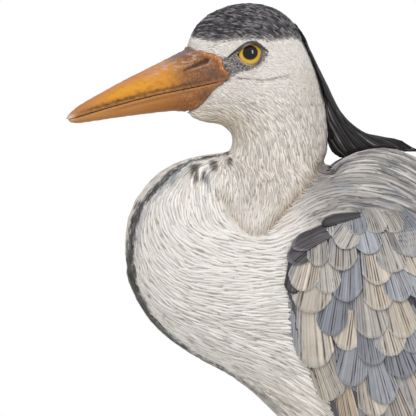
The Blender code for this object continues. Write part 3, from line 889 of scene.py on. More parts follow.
rng = np.random.default_rng(7)
roots = sow(skin, skin_lie, lock_size, open_ground, tries=190000, seed=11)
kept = ~under_wing(*roots[:2])
roots = [values[kept] for values in roots]
place = roots[0]
width, length = lock_size(place)
count = len(place)
width = width * rng.uniform(0.85, 1.25, count)
length = length * rng.uniform(0.75, 1.2, count)
height = np.interp(width, (0.9, 1.25, 1.6, 2.4), (0.24, 0.48, 0.52, 0.75))
height = height * rng.uniform(0.75, 1.2, count)
swing = rng.normal(0, 0.14, count)
points, painted, flat = locks(
    skin, skin_lie, roots, width, length, height, swing, plumage, rng
)
x, z = place[:, 0], place[:, 2]
regions = {
    "plumage_head": z > 636,
    "plumage_neck": (z <= 636) & (z > 560) & (x < -38),
    "plumage_breast": (z <= 560) & (x < -30),
    "plumage_back": (axis_height(place) > 0) & (x >= -38),
    "plumage_belly": (axis_height(place) <= 0) & (x >= -30),
}
taken = np.zeros(count, bool)
for name, chosen in regions.items():
    chosen = chosen & ~taken
    taken |= chosen
    mesh = joined(name, points[chosen], lock_faces(), painted[chosen], flat[chosen])
    place_piece(name, mesh, matte_paint, "white_plumage")

# -----------------------------------------------------------------------------
# The bill: two horn-coloured halves in one casting with the head, parted by the line of the mouth.
# It is painted orange over brown, with a dark streak above the mouth, then given a glossy varnish.
# -----------------------------------------------------------------------------
BILL_FACE = 0.85
HORN_ROOT = -78  # the casting that the horn is cut from ends at this x
MOUTH = [
    (-196, 627.4), (-181, 631), (-161.5, 637), (-145.6, 641.4), (-132.8, 644.6), (-120.2, 647.2),
    (-107.2, 649.8), (-92.5, 653.1), (-80, 656),
]
MOUTH_GAP = 0.4
NOSTRIL = [(-117.2, 659.2), (-112.5, 661.4), (-107.5, 663.6), (-103.8, 665.0)]
CULMEN = [
    (-188, 633), (-180.8, 637.6), (-170.9, 643.3), (-158, 651.1), (-144.8, 657.6), (-135.2, 662.2),
    (-125.3, 667), (-114.8, 673.2),
]


def prism(outline, half_width=60):
    """A solid with the given outline in side view, for cutting."""
    bm = bmesh.new()
    ring = [bm.verts.new((x, -half_width, z)) for x, z in outline]
    face = bm.faces.new(ring)
    swept = bmesh.ops.extrude_face_region(bm, geom=[face])
    verts = [g for g in swept["geom"] if isinstance(g, bmesh.types.BMVert)]
    bmesh.ops.translate(bm, vec=(0, 2 * half_width, 0), verts=verts)
    bmesh.ops.recalc_face_normals(bm, faces=bm.faces)
    return poured(bm, "prism")


def carve_with(mesh, cutter, operation):
    """The mesh left when a solid cuts it: what is inside that solid, or what is outside."""
    blank, tool = put("blank", mesh), put("tool", cutter)
    cut = blank.modifiers.new("cut", "BOOLEAN")
    cut.object = tool
    cut.operation = operation
    cut.solver = "MANIFOLD"
    result = finished(blank)
    bpy.data.objects.remove(tool)
    return result


def beyond(mesh, line, keep_above):
    """The part of a mesh above or below a line in side view, where nothing crosses that line."""
    bm = bmesh.new()
    bm.from_mesh(mesh)
    height = [v.co.z - at(line, v.co.x) for v in bm.verts]
    lost = [v for v, h in zip(bm.verts[:], height) if (h > 0) != keep_above]
    bmesh.ops.delete(bm, geom=lost, context="VERTS")
    bmesh.ops.triangulate(bm, faces=bm.faces)
    return poured(bm, "half")


def mouth_slot(half_gap):
    """The outline of a slot along the mouth, open this far above and below its line."""
    above = [(x, z + half_gap) for x, z in MOUTH]
    return above + [(x, z - half_gap) for x, z in reversed(MOUTH)]


def nostril_gap(x, z):
    """The distance to the nostril's line, half its width there, and 1 below it, where its rim
    is."""
    gap, side = from_line(x, z, NOSTRIL)
    return gap, np.interp(x, (-117, -108, -104), (0.5, 1.5, 1.7)), (side < 0) * ramp(-117, -111, x)


def work_horn(points):
    """How far the horn stands out: the nostril's groove and its rim, the mouth's lips, a faint
    grain."""
    x, y, z = points.T
    flank = ramp(2.5, 6, np.abs(y))
    gap, wide, rim = nostril_gap(x, z)
    above = z - at(MOUTH, x)
    out = -1.5 * (1 - ramp(0.4, 1.0, gap / wide)) * flank
    out += 0.4 * bell(gap - wide - 0.9, 0.8) * flank * rim
    out -= 0.35 * bell(above - 2.6, 1.3) * flank
    out -= 0.30 * bell(above + 2.2, 1.0) * flank * (above < 0)
    out += 0.22 * wobble(points, 5.0) * ramp(-128, -112, x)
    out += 0.10 * wobble(points * (0.3, 1, 1), 3.0, 1.0)
    out += 0.5 * bell(bare(points) - 0.9, 0.9) * ramp(-125, -118, x)
    return out


def horn_paint(points):
    """The bill's colours, one brushed over the other, from its ground to the highlight at the
    tip."""
    x, y, z = points.T
    above = z - at(MOUTH, x)
    share = above / np.maximum(at(CULMEN, x) - at(MOUTH, x), 1)
    upper, lower = above > 0, above < 0
    base = ramp(-129, -113, x + 1.5 * wobble(points, 9))
    specks = ramp(0.25, 0.75, wobble(points, 2.6, 3.0)) * base
    pale = ramp(0.35, 0.8, wobble(points, 3.4, 5.0)) * base
    # painted highlight: pale pinkish streaks over the top half of the upper bill, back from its
    # middle
    painted_sheen = ramp(-0.1, 0.8, wobble(points * (0.35, 1, 1), 4.2, 7.0)) * ramp(0.5, 0.68, share)
    painted_sheen = painted_sheen * ramp(-146, -132, x) * (1 - ramp(-112, -104, x))
    soot = oval(x, z, (-100, 657.5), (7, 3.5)) * upper * (0.6 + 0.3 * wobble(points, 2.8, 1.0))
    notch = oval(x, z, (-104, 644.5), (4.0, 4.0)) * lower
    forehead = ramp(0.78, 0.92, share) * ramp(-130, -121, x) * (1 - ramp(1.6, 3.2, np.abs(y) - 5))
    brushed = wobble(points * (0.12, 1, 1), 1.7, 2.0)
    streak = bell(above - 2.3 - 0.5 * wobble(points, 6), 1.25) * ramp(-187, -168, x)
    streak = streak * (1 - ramp(-122, -104, x) * 0.5) * (0.8 + 0.2 * brushed)
    low = bell(above + 2.4, 1.0) * ramp(-172, -150, x) * (1 - ramp(-135, -118, x) * 0.6)
    gap, wide, rim = nostril_gap(x, z)
    edge = bell(bare(points) - 0.8, 1.1) * ramp(-122, -116, x)
    corner = ramp(-111, -104, x) * ramp(654, 660, z)
    glint = ramp(0.3, 0.8, wobble(points, 1.9, 8.0)) * edge * (0.3 + 0.7 * corner)
    return coats(
        points, "d0892c",
        ("dd9a1f", 0.9 * oval(x, share, (-150, 0.5), (17, 0.25))),
        ("c98a62", ramp(0.6, 0.92, share) * 0.85),
        ("b87a48", 1 - ramp(-184, -158, x)),
        ("b87e44", lower * 0.85),
        ("a96c30", lower * ramp(-150, -120, x)),
        ("7d5132", base * upper * 0.92),
        ("8f5b31", base * lower * 0.6),
        ("5d4130", specks * 0.65),
        ("c58e62", pale * 0.55),
        ("c4a292", painted_sheen * 0.85),
        ("55443f", soot),
        ("5d4030", notch * 0.8),
        ("787172", forehead * 0.9),
        ("8f5a2c", ramp(0.2, 0.9, brushed) * upper * ramp(-182, -160, x) * 0.3),
        ("35271f", streak),
        ("9a6430", bell(above - 0.6, 0.7) * ramp(-187, -175, x) * 0.6),
        ("875723", low * 0.7),
        ("d69b5c", bell(above + 0.7, 0.6) * 0.6),
        ("4a2f1c", bell(above, 0.45) * 0.85),
        ("4b2d18", (1 - ramp(0.5, 1.1, gap / wide)) * 0.9 * upper),
        ("b3968c", bell(gap - wide - 0.7, 0.55) * rim * (0.5 + 0.2 * wobble(points, 4.0))),
        ("7b5b43", edge * (1 - corner) * 0.55),
        ("c1763a", edge * corner * 0.9),
        ("e9b48c", glint * 0.6),
        ("e6cdb8", (1 - ramp(-185, -180, x)) * bell(above - 0.8, 1.8) * 0.85),
    )


horn_varnish = varnished(
    "painted_horn_gloss_varnish", 0.5, coat=0.16, grain=0.9, depth=0.10, mottle=0.07
)
casting = gather(("head", "bill_upper", "bill_lower"), SEAM_FILL)
cut_off(casting, HORN_ROOT, 1)
horn = recast(casting, BILL_FACE, smoothing=4)
sink(horn, SEAM_FILL)
horn = carve_with(horn, prism(BILL_EDGE), "INTERSECT")
inner = horn.copy()
sink(inner, 0.55)
inner = carve_with(inner, prism(mouth_slot(1.2)), "INTERSECT")
colour(inner, tone("3a2415"))
place_piece("mouth_line", inner, horn_varnish, "bill_orange")
horn = carve_with(horn, prism(mouth_slot(MOUTH_GAP / 2)), "DIFFERENCE")
for node_name, above in (("bill_upper", True), ("bill_lower", False)):
    half = beyond(horn, MOUTH, above)
    points = read(half)
    points = points + read(half, "normal") * work_horn(points)[:, None]
    write(half, points)
    colour(half, horn_paint(points))
    place_piece(node_name + "_horn", half, horn_varnish, "bill_orange", node_name)

# -----------------------------------------------------------------------------
# The eyes: glass-smooth painted balls under a thick clear gloss, yellow round a black pupil. A
# rolled lid of bare grey skin frames each, thick above and thin below.
# -----------------------------------------------------------------------------
EYE_RADIUS = 8.9
EYE_CENTRE = (-76.9, 12.6, 667.2)
PUPIL = (-78.6, 669.9)  # where each pupil's middle shows, in side view
PUPIL_RADIUS = 4.6
EYE_RINGS = 40
UPPER_LID = [
    (-91.6, 666.4, 0.4), (-88.9, 668.7, 0.75), (-86.3, 670.4, 1.0), (-82.7, 673.0, 1.1),
    (-79.7, 674.7, 1.15), (-77.0, 675.3, 1.15), (-74.8, 675.0, 1.1), (-72.4, 673.4, 1.0),
    (-70.0, 671.6, 0.6), (-67.9, 670.2, 0.4),
]
LOWER_LID = [
    (-86.3, 668.6, 0.35), (-85.2, 666.2, 0.5), (-82.9, 663.8, 0.55), (-80.5, 662.3, 0.55),
    (-78.1, 661.7, 0.55), (-75.6, 662.2, 0.55), (-73.6, 663.7, 0.55), (-72.2, 666.2, 0.5),
    (-71.5, 669.1, 0.45), (-70.8, 671.6, 0.35),
]


def eye_paint(spots, gaze):
    """The paint at spots given from the ball's centre, by how far round they are from its gaze."""
    across = np.arccos(np.clip(spots @ gaze / EYE_RADIUS**2, -1, 1)) * EYE_RADIUS
    return coats(
        spots, "e0ac1e",
        ("edc85e", ramp(PUPIL_RADIUS + 0.8, PUPIL_RADIUS + 1.9, across)),
        ("8a5a12", 1 - ramp(PUPIL_RADIUS, PUPIL_RADIUS + 0.6, across)),
        ("0b0a0b", 1 - ramp(PUPIL_RADIUS - 0.1, PUPIL_RADIUS + 0.15, across)),
        ("4d463e", ramp(7.4, 8.2, across)),
    )


gloss = varnished(
    "painted_eye_clear_gloss", 0.18, coat=1.0, grain=3.0, depth=0.0, mottle=0.03,
    coat_roughness=0.03, specular=0.1,
)
for side, sign in SIDES.items():
    centre = np.array(EYE_CENTRE) * (1, sign, 1)
    gaze = np.array((PUPIL[0] - centre[0], 0, PUPIL[1] - centre[2]))
    gaze[1] = sign * math.sqrt(EYE_RADIUS**2 - gaze[0] ** 2 - gaze[2] ** 2)
    ball = bmesh.new()
    bmesh.ops.create_uvsphere(ball, u_segments=64, v_segments=EYE_RINGS * 2, radius=EYE_RADIUS)
    turn = Vector((0, 0, 1)).rotation_difference(Vector(gaze)).to_matrix()
    bmesh.ops.rotate(ball, cent=(0, 0, 0), matrix=turn, verts=ball.verts)
    bmesh.ops.translate(ball, vec=centre, verts=ball.verts)
    mesh = poured(ball, "eye")
    colour(mesh, eye_paint(read(mesh) - centre, gaze))
    place_piece("eyeball_" + side, mesh, gloss, "eye_glass", "eye_" + side)


def over_ball(spots, sign):
    """Places moved out, where need be, to stand on the eye's ball."""
    x, z = spots[:, 0] - EYE_CENTRE[0], spots[:, 2] - EYE_CENTRE[2]
    ball = EYE_CENTRE[1] + np.sqrt(np.maximum(EYE_RADIUS**2 - x**2 - z**2, 0))
    spots[:, 1] = sign * np.maximum(sign * spots[:, 1], ball)
    return spots


def roll(surface, line, sign, sections=4, corners=10, pressed=0.1):
    """A rounded roll of skin laid on a surface along a line in side view, closed at both ends. The
    line gives x, z and the roll's radius. The roll is pressed in a little to join the skin."""
    line = np.array(line)
    steps = np.linspace(0, len(line) - 1, (len(line) - 1) * sections + 1)
    path = np.stack([np.interp(steps, np.arange(len(line)), line[:, k]) for k in range(3)], 1)
    starts = np.stack([path[:, 0], np.full(len(path), sign * 60.0), path[:, 1]], 1)
    spots, _ = surface.cast(starts, (0, -sign, 0))
    spots = over_ball(spots, sign)
    normals = unit(spots - np.array(EYE_CENTRE) * (1, sign, 1))
    spots = spots + normals * (path[:, 2:] * 0.4 - pressed)
    bm = bmesh.new()
    rings = []
    for k, (spot, normal) in enumerate(zip(spots, normals)):
        ahead = unit(spots[min(k + 1, len(spots) - 1)] - spots[max(k - 1, 0)])
        side = np.cross(ahead, normal)
        up = np.cross(side, ahead)
        ring = []
        for c in range(corners):
            angle = 2 * math.pi * c / corners
            out = side * math.cos(angle) + up * math.sin(angle)
            ring.append(bm.verts.new(spot + path[k, 2] * out))
        rings.append([bm.edges.new((ring[c], ring[(c + 1) % corners])) for c in range(corners)])
    for here, there in zip(rings, rings[1:]):
        bmesh.ops.bridge_loops(bm, edges=here + there)
    bmesh.ops.holes_fill(bm, edges=[e for e in bm.edges if e.is_boundary])
    bmesh.ops.recalc_face_normals(bm, faces=bm.faces)
    return poured(bm, "roll")


def lid_paint(points, upper):
    """Near-black on the upper lid, worn pale along the pupil, and grey-brown on the lower one."""
    if upper:
        far = np.hypot(points[:, 0] - PUPIL[0], points[:, 2] - PUPIL[1])
        return coats(points, "3f393b", ("97897a", (1 - ramp(4.6, 5.6, far)) * 0.85))
    return coats(points, "a3957b", ("4c4542", ramp(-79, -74, points[:, 0]) * 0.85))


lid_skin = varnished("brushed_bare_skin_satin", 0.5, coat=0.2, grain=0.4, depth=0.08, mottle=0.12)
for side, sign in SIDES.items():
    for label, line, upper in (("upper_lid_", UPPER_LID, True), ("lower_lid_", LOWER_LID, False)):
        mesh = roll(skin, line, sign)
        colour(mesh, lid_paint(read(mesh), upper))
        place_piece(label + side, mesh, lid_skin, "black_plumage")

# -----------------------------------------------------------------------------
# The crest: two long black plumes lying together, from the back of the crown down over the mantle.
# They are carved as strands on one slim body, black, with a few grey hairlines dry-brushed on.
# -----------------------------------------------------------------------------
CREST_LIE = [(-44, -60), (-34, -63), (-25, -58), (-14, -48), (5, -36), (25, -30)]  # x, angle


def lie_along(angles, points, normals):
    """Ways along a surface, at angles in side view that are listed by x."""
    angle = np.radians(at(angles, points[:, 0]))
    way = np.stack([np.cos(angle), np.zeros(len(points)), np.sin(angle)], 1)
    return level_with(way, normals)


def same_size(width, length):
    """One width and length for the locks or feathers at all places."""
    return lambda points: (np.full(len(points), width), np.full(len(points), length))


def between_heights(low, high):
    """1 for places between two heights, and 0 for others."""
    return lambda points: ((points[:, 2] > low) & (points[:, 2] < high)).astype(float)


def crest_paint(points):
    """Black, with grey dry-brushed hairlines."""
    return coats(points, "242122", ("6b6668", ramp(0.45, 0.95, wobble(points, 9, 4.0)) * 0.75))


def strand_piece(name, surface, lie, size, ground, paint, material, slot, tries, seed, along):
    """A covering of locks over a surface, as one piece. `size` is their width and length."""
    roots = sow(surface, lie, same_size(*size), ground, tries, seed, along=along)
    rng = np.random.default_rng(seed + 1)
    count = len(roots[0])
    width = size[0] * rng.uniform(0.8, 1.25, count)
    length = size[1] * rng.uniform(0.75, 1.2, count)
    swing = rng.normal(0, 0.04, count)
    points, painted, flat = locks(
        surface, lie, roots, width, length, width * 0.33, swing, paint, rng, 0.75
    )
    place_piece(name, joined(name, points, lock_faces(), painted, flat), material, slot)


satin_black = varnished("brushed_black_acrylic_satin", 0.5, coat=0.15, mottle=0.15)
crest_mesh = recast(gather(("crest",), 0.7), 1.0, smoothing=3)
sink(crest_mesh, 1.0)
crest_surface = Surface(crest_mesh, flat=unwrap(crest_mesh))
lie = lie_along(CREST_LIE, crest_surface.points, crest_surface.normals)
colour(crest_mesh, tone("151314"))
place_piece("crest_core", crest_mesh, satin_black, "black_plumage", "crest")
strand_piece(
    "crest_strands", crest_surface, lie, (1.7, 30.0), between_heights(0, 667), crest_paint,
    satin_black, "black_plumage", tries=9000, seed=21, along=0.3,
)

# -----------------------------------------------------------------------------
# The hems of the thighs: a last ring of locks, carved hanging over the top of each bare leg. They
# are of the same resin and paint as the plumage, and grow from a band at the thigh's lower end.
# -----------------------------------------------------------------------------
HEM_BAND = 12
for side in SIDES:
    solids = ("thigh_" + side, "tibia_" + side)
    sleeve = recast(gather(solids, SEAM_FILL), 1.8, smoothing=14)
    sink(sleeve, SEAM_FILL + CARVING_DEPTH)
    surface = Surface(sleeve, flat=unwrap(sleeve))
    lie = level_with(np.broadcast_to((0.0, 0.0, -1.0), surface.points.shape), surface.normals)
    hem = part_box("thigh_" + side)[0][2] / MM
    band = between_heights(hem, hem + HEM_BAND)
    strand_piece(
        "thigh_hem_" + side, surface, lie, (2.2, 15.0), band, plumage, matte_paint,
        "white_plumage", tries=2500, seed=23, along=0.25,
    )
    bpy.data.meshes.remove(sleeve)

# -----------------------------------------------------------------------------
# The wings: a dark solid core, and over it rows of round-ended feathers carved with fanned
# grooves. The coverts are grey, beige and blue-grey with pale edges. The long flight feathers
# under them are slate.
# -----------------------------------------------------------------------------
WING_FACE = 2.6
CORE_DEPTH = 1.6  # how far the core lies under the solids' surface
FEATHER_DEPTH = 0.7  # and how far the ground that the feathers are laid on does
FEATHER_PAINTS = {
    # middle, front edge, tip
    "slate": ("615f62", "474549", "454346"),
    "slate_fringed": ("615f63", "4c4a4e", "9ea3ad"),
    "beige": ("d6ccc0", "acabad", "e2dbd1"),
    "sand": ("d8cdbf", "b5b0aa", "ece5da"),
    "grey": ("c4bfb9", "a4a3a6", "d7d3ce"),
    "blue": ("adb0b8", "979aa3", "c3c6cc"),
    "blue_deep": ("999ca6", "80838e", "b2b5be"),
    "tan": ("d9c7b1", "b0a69b", "e0d2be"),
    "secondary": ("8b8c92", "6f7077", "a9abb2"),
    "flight": ("525157", "403f44", "77767b"),
}
# The front feathers, from the lowest up: root and tip in side view, width, paint, how high it
# lies.
FRONT_FEATHERS = [
    ((-39.7, 471.0), (-29.3, 441.0), 15.0, "blue", -0.8),
    ((-29.2, 479.3), (-20.3, 442.0), 17.0, "tan", -0.6),
    ((-46.0, 477.0), (-38.0, 455.0), 11.0, "blue_deep", -0.5),
    ((-57.0, 533.0), (-53.0, 492.0), 15.0, "blue", -0.4),
    ((-54.5, 550.0), (-57.6, 527.0), 11.0, "slate", 0.2),
    ((-40.0, 494.0), (-30.2, 465.0), 17.0, "grey", -0.3),
    ((-44.6, 491.0), (-33.4, 463.4), 19.5, "sand", 0.0),
    ((-20.6, 503.0), (-23.2, 472.6), 19.5, "blue", -0.1),
    ((-31.5, 536.0), (-36.0, 502.6), 18.5, "blue_deep", 0.2),
    ((-47.9, 525.0), (-43.4, 483.4), 26.5, "beige", 0.4),
    ((-22.8, 526.0), (-26.7, 493.6), 19.0, "sand", -1.3),
    ((-26.0, 548.0), (-27.5, 522.4), 19.0, "blue_deep", 0.6),
    ((-40.2, 552.0), (-37.0, 527.0), 16.0, "grey", 0.4),
    ((-45.6, 540.0), (-48.2, 515.8), 25.0, "beige", 0.8),
    ((-46.6, 554.0), (-53.4, 528.8), 18.0, "beige", 1.1),
    ((-29.4, 564.0), (-29.9, 540.4), 18.0, "grey", 1.2),
    ((-42.8, 561.0), (-43.5, 543.0), 13.0, "grey", 1.4),
    ((-41.0, 560.0), (-59.6, 545.4), 17.0, "slate_fringed", 1.6),
    ((-21.0, 570.0), (-31.2, 553.6), 17.0, "grey", 2.1),
    ((-12.0, 573.5), (-40.0, 566.5), 8.0, "slate", 2.4),
    ((-29.0, 566.5), (-57.8, 553.6), 15.5, "slate_fringed", 2.8),
]
# The long feathers on the wing's side, from the lowest up: root and tip along the trunk and above
# its axis.
FLIGHT_FEATHERS = [
    ((180, -58), (278, -50)), ((183, -48), (300, -36)), ((188, -38), (318, -22)),
    ((193, -28), (338, -10)), ((198, -18), (358, 0)), ((204, -8), (378, 5)), ((210, 2), (398, 8)),
    ((217, 12), (414, 9)), ((224, 23), (428, 10)), ((230, 34), (416, 15)), ((236, 45), (396, 22)),
    ((240, 56), (368, 33)), ((236, 65), (338, 46)),
]
# The ones that close over the back: root and tip along the trunk and out from its middle.
BACK_FEATHERS = [
    ((330, 20), (428, 12)), ((318, 14), (416, 8)), ((300, 24), (404, 16)), ((286, 16), (386, 9)),
    ((214, 51), (318, 27)), ((250, 30), (360, 20)), ((216, 42), (345, 22)), ((218, 33), (370, 16)),
    ((222, 24), (350, 11)),
]
# The left wing's top edge, under the mantle's locks.
TOP_EDGE = [
    (-30.5, -60.6, 571.6), (-13.4, -59.1, 575.5), (2.8, -57.5, 574.8), (26.9, -51.5, 567),
    (51, -44.5, 553.9), (76.2, -36.4, 533.2), (91.2, -29.7, 515.8), (105.6, -23.1, 496.6),
    (118.5, -17.1, 476.1),
]
WING_LIE = [(-60, -95), (-25, -84), (20, -62), (60, -52), (190, -50)]  # x, angle
FRONT_EDGE = (-17, 440)  # before this x and above this z, the rows lie under the front feathers
TUCK = 7  # how far the rows' feathers start under those before them
TRUNK_SLOPE = (0.643, 0.766)  # how far the trunk's axis runs back, and falls, in each millimetre
DOWN_ONTO_BACK = (-TRUNK_SLOPE[1], 0.0, -TRUNK_SLOPE[0])
# Ridges on each side of a feather, where its points lie along it, and the depth of its grooves.
LONG_PATTERN = (6, np.linspace(0, 1, 15), 0.22)
COVERT_PATTERN = (13, (0, 0.22, 0.42, 0.6, 0.77, 0.91, 1), 0.2)


def along_trunk(d, h):
    """The x and z of places along the trunk's axis and above it."""
    c, s = TRUNK_SLOPE
    return AXIS_START[0] + c * d + s * h, AXIS_START[1] - s * d + c * h


def feather_faces(columns, rows):
    """A closed feather: a top sheet, a bottom sheet under it and the edge between them."""
    def top(r, c):
        return r * columns + c

    def bottom(r, c):
        return rows * columns + r * columns + c

    faces = []
    for r in range(rows - 1):
        for c in range(columns - 1):
            faces.append((top(r, c), top(r, c + 1), top(r + 1, c + 1), top(r + 1, c)))
            faces.append((bottom(r, c), bottom(r + 1, c), bottom(r + 1, c + 1), bottom(r, c + 1)))
    rim = [(0, c) for c in range(columns)] + [(r, columns - 1) for r in range(1, rows)]
    rim += [(rows - 1, c) for c in range(columns - 2, -1, -1)]
    rim += [(r, 0) for r in range(rows - 2, 0, -1)]
    for here, there in zip(rim, rim[1:] + rim[:1]):
        faces.append((top(*here), bottom(*here), bottom(*there), top(*there)))
    return faces


def fan_feathers(surface, root, tip, width, rise, level, pattern, rng, spread=1.8):
    """The points of feathers laid on a surface. Their grooves fan from the root to a round, ragged
    tip. `level` is how high a feather lies, and `rise` how far its tip stands over its root."""
    ridges, stations, depth = pattern
    count = len(root)
    u, v = np.meshgrid(np.linspace(-1, 1, 2 * ridges + 1), stations)  # shares across and along
    run = tip - root
    length = np.linalg.norm(run, axis=1)
    _, normal, _ = surface.nearest((root + tip) / 2)
    way = unit(run)
    side = unit(np.cross(way, normal))
    widest = length - 0.46 * width
    apex = spread * width
    half = np.arctan2(width / 2, widest + apex)
    edge = np.hypot(width / 2, widest + apex)
    ridge = np.where(np.arange(2 * ridges + 1) % 2 == 1, 1.0, -1.0)
    reach = (apex + length)[:, None] - (apex + length - edge)[:, None] * np.abs(u[0]) ** 2.2
    reach += ridge * 0.12 + rng.normal(0, 0.16, (count, len(u[0])))
    radius = apex[:, None, None] + (reach - apex[:, None])[:, None, :] * v
    turn = half[:, None, None] * u
    t, s = radius * np.cos(turn) - apex[:, None, None], radius * np.sin(turn)
    flat = root[:, None, None] + way[:, None, None] * t[..., None]
    flat = flat + side[:, None, None] * s[..., None]
    spot, up, _ = surface.nearest(flat.reshape(-1, 3))
    spot, up = spot.reshape(flat.shape), up.reshape(flat.shape)
    lift = level[:, None, None] * 0.55 - 0.7 + rise[:, None, None] * v**1.2
    lift = lift - 1.6 * (1 - ramp(0, 0.3, v)) - 0.7 * u**2 * v
    lift = lift + depth * ridge * ramp(0.02, 0.3, v)
    top = spot + up * lift[..., None]
    bottom = spot + up * (lift - 0.35 - 0.75 * ramp(0, 0.4, v))[..., None]
    points = np.concatenate([top.reshape(count, -1, 3), bottom.reshape(count, -1, 3)], 1)
    return points, u, v, ridge


def feather_paint(u, v, ridge, paints, sign, rng):
    """Each feather's paint: pale on its ridges and tip and washed dark in its grooves, with
    painted shade at its root and a dark underside that paints a shadow line along its edge.
    """
    painted = []
    for name in paints:
        middle, edge, tip = (tone(code) for code in FEATHER_PAINTS[name])
        front = ramp(0.25, 0.95, -sign * u)
        own = mixed(np.broadcast_to(middle, u.shape + (3,)), edge, front)
        own = mixed(own, tip, ramp(0.9, 0.99, v) * 0.75)
        own = own * (0.88 + rng.normal(0, 0.045))
        streak = np.exp(rng.normal(0, 0.13, len(ridge)))[None, :]
        streak = streak * (0.92 + 0.16 * rng.random(u.shape))
        own = own * streak[..., None]
        lines = np.where(ridge < 0, rng.choice((0.15, 0.4, 0.85, 1.25), len(ridge)), 0.0)
        broken = rng.uniform(0.45, 1.15, u.shape)
        groove = lines[None, :] * broken * ramp(0.03, 0.3, v) * (1 - 0.75 * ramp(0.9, 1, v))
        own = own * (1 - groove[..., None]) + own * wash * groove[..., None] * 0.8
        # painted shade: darker towards the root, where the feather above lies over it
        own = own * (0.62 + 0.38 * ramp(0.0, 0.3, v))[..., None]
        # painted shadow: the bottom sheet is dark, so the rim between the sheets shows a dark line
        # under the feather's edge
        under = own * wash * 0.5
        painted.append(np.concatenate([own.reshape(-1, 3), under.reshape(-1, 3)]))
    return np.array(painted)


def feather_patch(u, v):
    """Where a feather's points lie in its patch, with its bottom sheet a little smaller."""
    across = np.concatenate([u.ravel() * 0.5, u.ravel() * 0.45])
    return across, np.concatenate([v.ravel() - 0.5, v.ravel() * 0.9 - 0.45])


def feather_piece(name, slot, core, over, feathers, pattern, sign, rng, *nodes):
    """Feathers laid over a surface as one piece, with their places on the map from the core's map.
    `feathers` holds their roots, tips, widths, rises, levels and paints."""
    root, tip, width, rise, level, paints = feathers
    points, u, v, ridge = fan_feathers(over, root, tip, width, rise, level, pattern, rng)
    painted = feather_paint(u, v, ridge, paints, sign, rng)
    _, _, face = core.nearest(root)
    flat = patches(core.flat[face], *feather_patch(u, v))
    mesh = joined(name, points, feather_faces(*reversed(u.shape)), painted, flat)
    place_piece(name, mesh, wing_varnish, slot, *nodes)


def covert_ground(points):
    """1 where the smaller feathers grow: behind the front ones and short of the long ones."""
    c, s = TRUNK_SLOPE
    x, z = points[:, 0] - AXIS_START[0], points[:, 2] - AXIS_START[1]
    along, above = x * c - z * s, x * s + z * c
    return ((along < 228 + 0.35 * above) & (np.abs(points[:, 1]) > 14)).astype(float)


def landed(surface, starts, direction, fallback):
    """Where rays meet a surface. Those that miss it take the place nearest to their fallback."""
    spot, hit = surface.cast(starts, direction)
    return np.where(hit[:, None], spot, surface.nearest(fallback)[0])


def on_back(surface, d, y, height=120.0):
    """The surface over the back, at places along the trunk and out from its middle."""
    x, z = along_trunk(d, np.full(len(d), height))
    starts = np.stack([x, y, z], 1)
    return landed(surface, starts, DOWN_ONTO_BACK, starts)


def on_wing(surface, sign, x, z):
    """The wing's outer surface at places in side view."""
    far, near = (np.stack([x, np.full(len(x), sign * out), z], 1) for out in (120.0, 60.0))
    return landed(surface, far, (0, -sign, 0), near)


def long_feathers(over, sign):
    """The flight feathers, and the row of secondaries that overlaps them."""
    high = np.arange(-55, 66, 9.5)
    rows = (205 + 0.35 * high, high), (262 + 0.3 * high, high * 0.93)
    ends = []
    for end, row in enumerate(rows):  # the roots, then the tips
        side = np.array([feather[end] for feather in FLIGHT_FEATHERS]).T
        along, out = np.array([feather[end] for feather in BACK_FEATHERS], float).T
        ends.append(np.concatenate([
            on_wing(over, sign, *along_trunk(*side)), on_back(over, along, sign * out),
            on_wing(over, sign, *along_trunk(*row)),
        ]))
    flight, row = len(FLIGHT_FEATHERS) + len(BACK_FEATHERS), len(high)
    width = np.array([16.0] * flight + [17.0] * row)
    level = np.concatenate([np.linspace(-0.4, 1.6, flight), np.linspace(1.2, 2.6, row)])
    paints = ["flight"] * flight + ["secondary"] * row
    return *ends, width, np.full(flight + row, 1.2), level, paints


def covert_rows(core, over, sign, rng):
    """The rows of smaller feathers over the long ones, and the row along the wing's top edge.
    Those under the front feathers lie low and dark."""
    lie = lie_along(WING_LIE, core.points, core.normals)
    place, _, _, way = sow(
        core, lie, same_size(17.0, 27.0), covert_ground, tries=4000, seed=41, across=0.56,
        along=0.5,
    )
    count = len(place)
    width, length = rng.uniform(17.5, 21, count), rng.uniform(28, 34, count)
    choices = ("grey", "blue", "beige", "blue_deep", "grey", "sand")
    paints = [choices[k] for k in rng.integers(0, len(choices), count)]
    hidden = (place[:, 0] < FRONT_EDGE[0]) & (place[:, 2] > FRONT_EDGE[1])
    paints = ["blue_deep" if h else p for h, p in zip(hidden, paints)]
    root, tip = place - way * TUCK, place + way * (length[:, None] - TUCK)
    # the row along the top edge
    edge = np.array(TOP_EDGE) * (1, -sign, 1)
    reach = np.concatenate([[0], np.cumsum(np.linalg.norm(np.diff(edge, axis=0), axis=1))])
    steps = np.linspace(0, 1, 22) * reach[-1]
    edge = np.stack([np.interp(steps, reach, edge[:, k]) for k in range(3)], 1)
    edge, normal, _ = over.nearest(edge)
    down = lie_along(WING_LIE, edge, normal)
    above, _, _ = over.nearest(edge - down * 3 - (0, sign * 3, -1))
    below, _, _ = over.nearest(edge + down * rng.uniform(13, 18, len(edge))[:, None])
    paints += [("grey", "blue_deep", "grey")[k % 3] for k in range(len(edge))]
    root, tip = np.concatenate([root, above]), np.concatenate([tip, below])
    width = np.concatenate([width, np.full(len(edge), 16.0)])
    level = np.interp(tip[:, 2], (370, 580), (0.0, 1.6)) + rng.uniform(-0.25, 0.25, len(root))
    level[:count][hidden] = -1.6
    level[count:] = 1.7
    rise = np.concatenate([np.where(hidden, 1.1, 2.0), np.full(len(edge), 1.2)])
    return root, tip, width, rise, level, paints


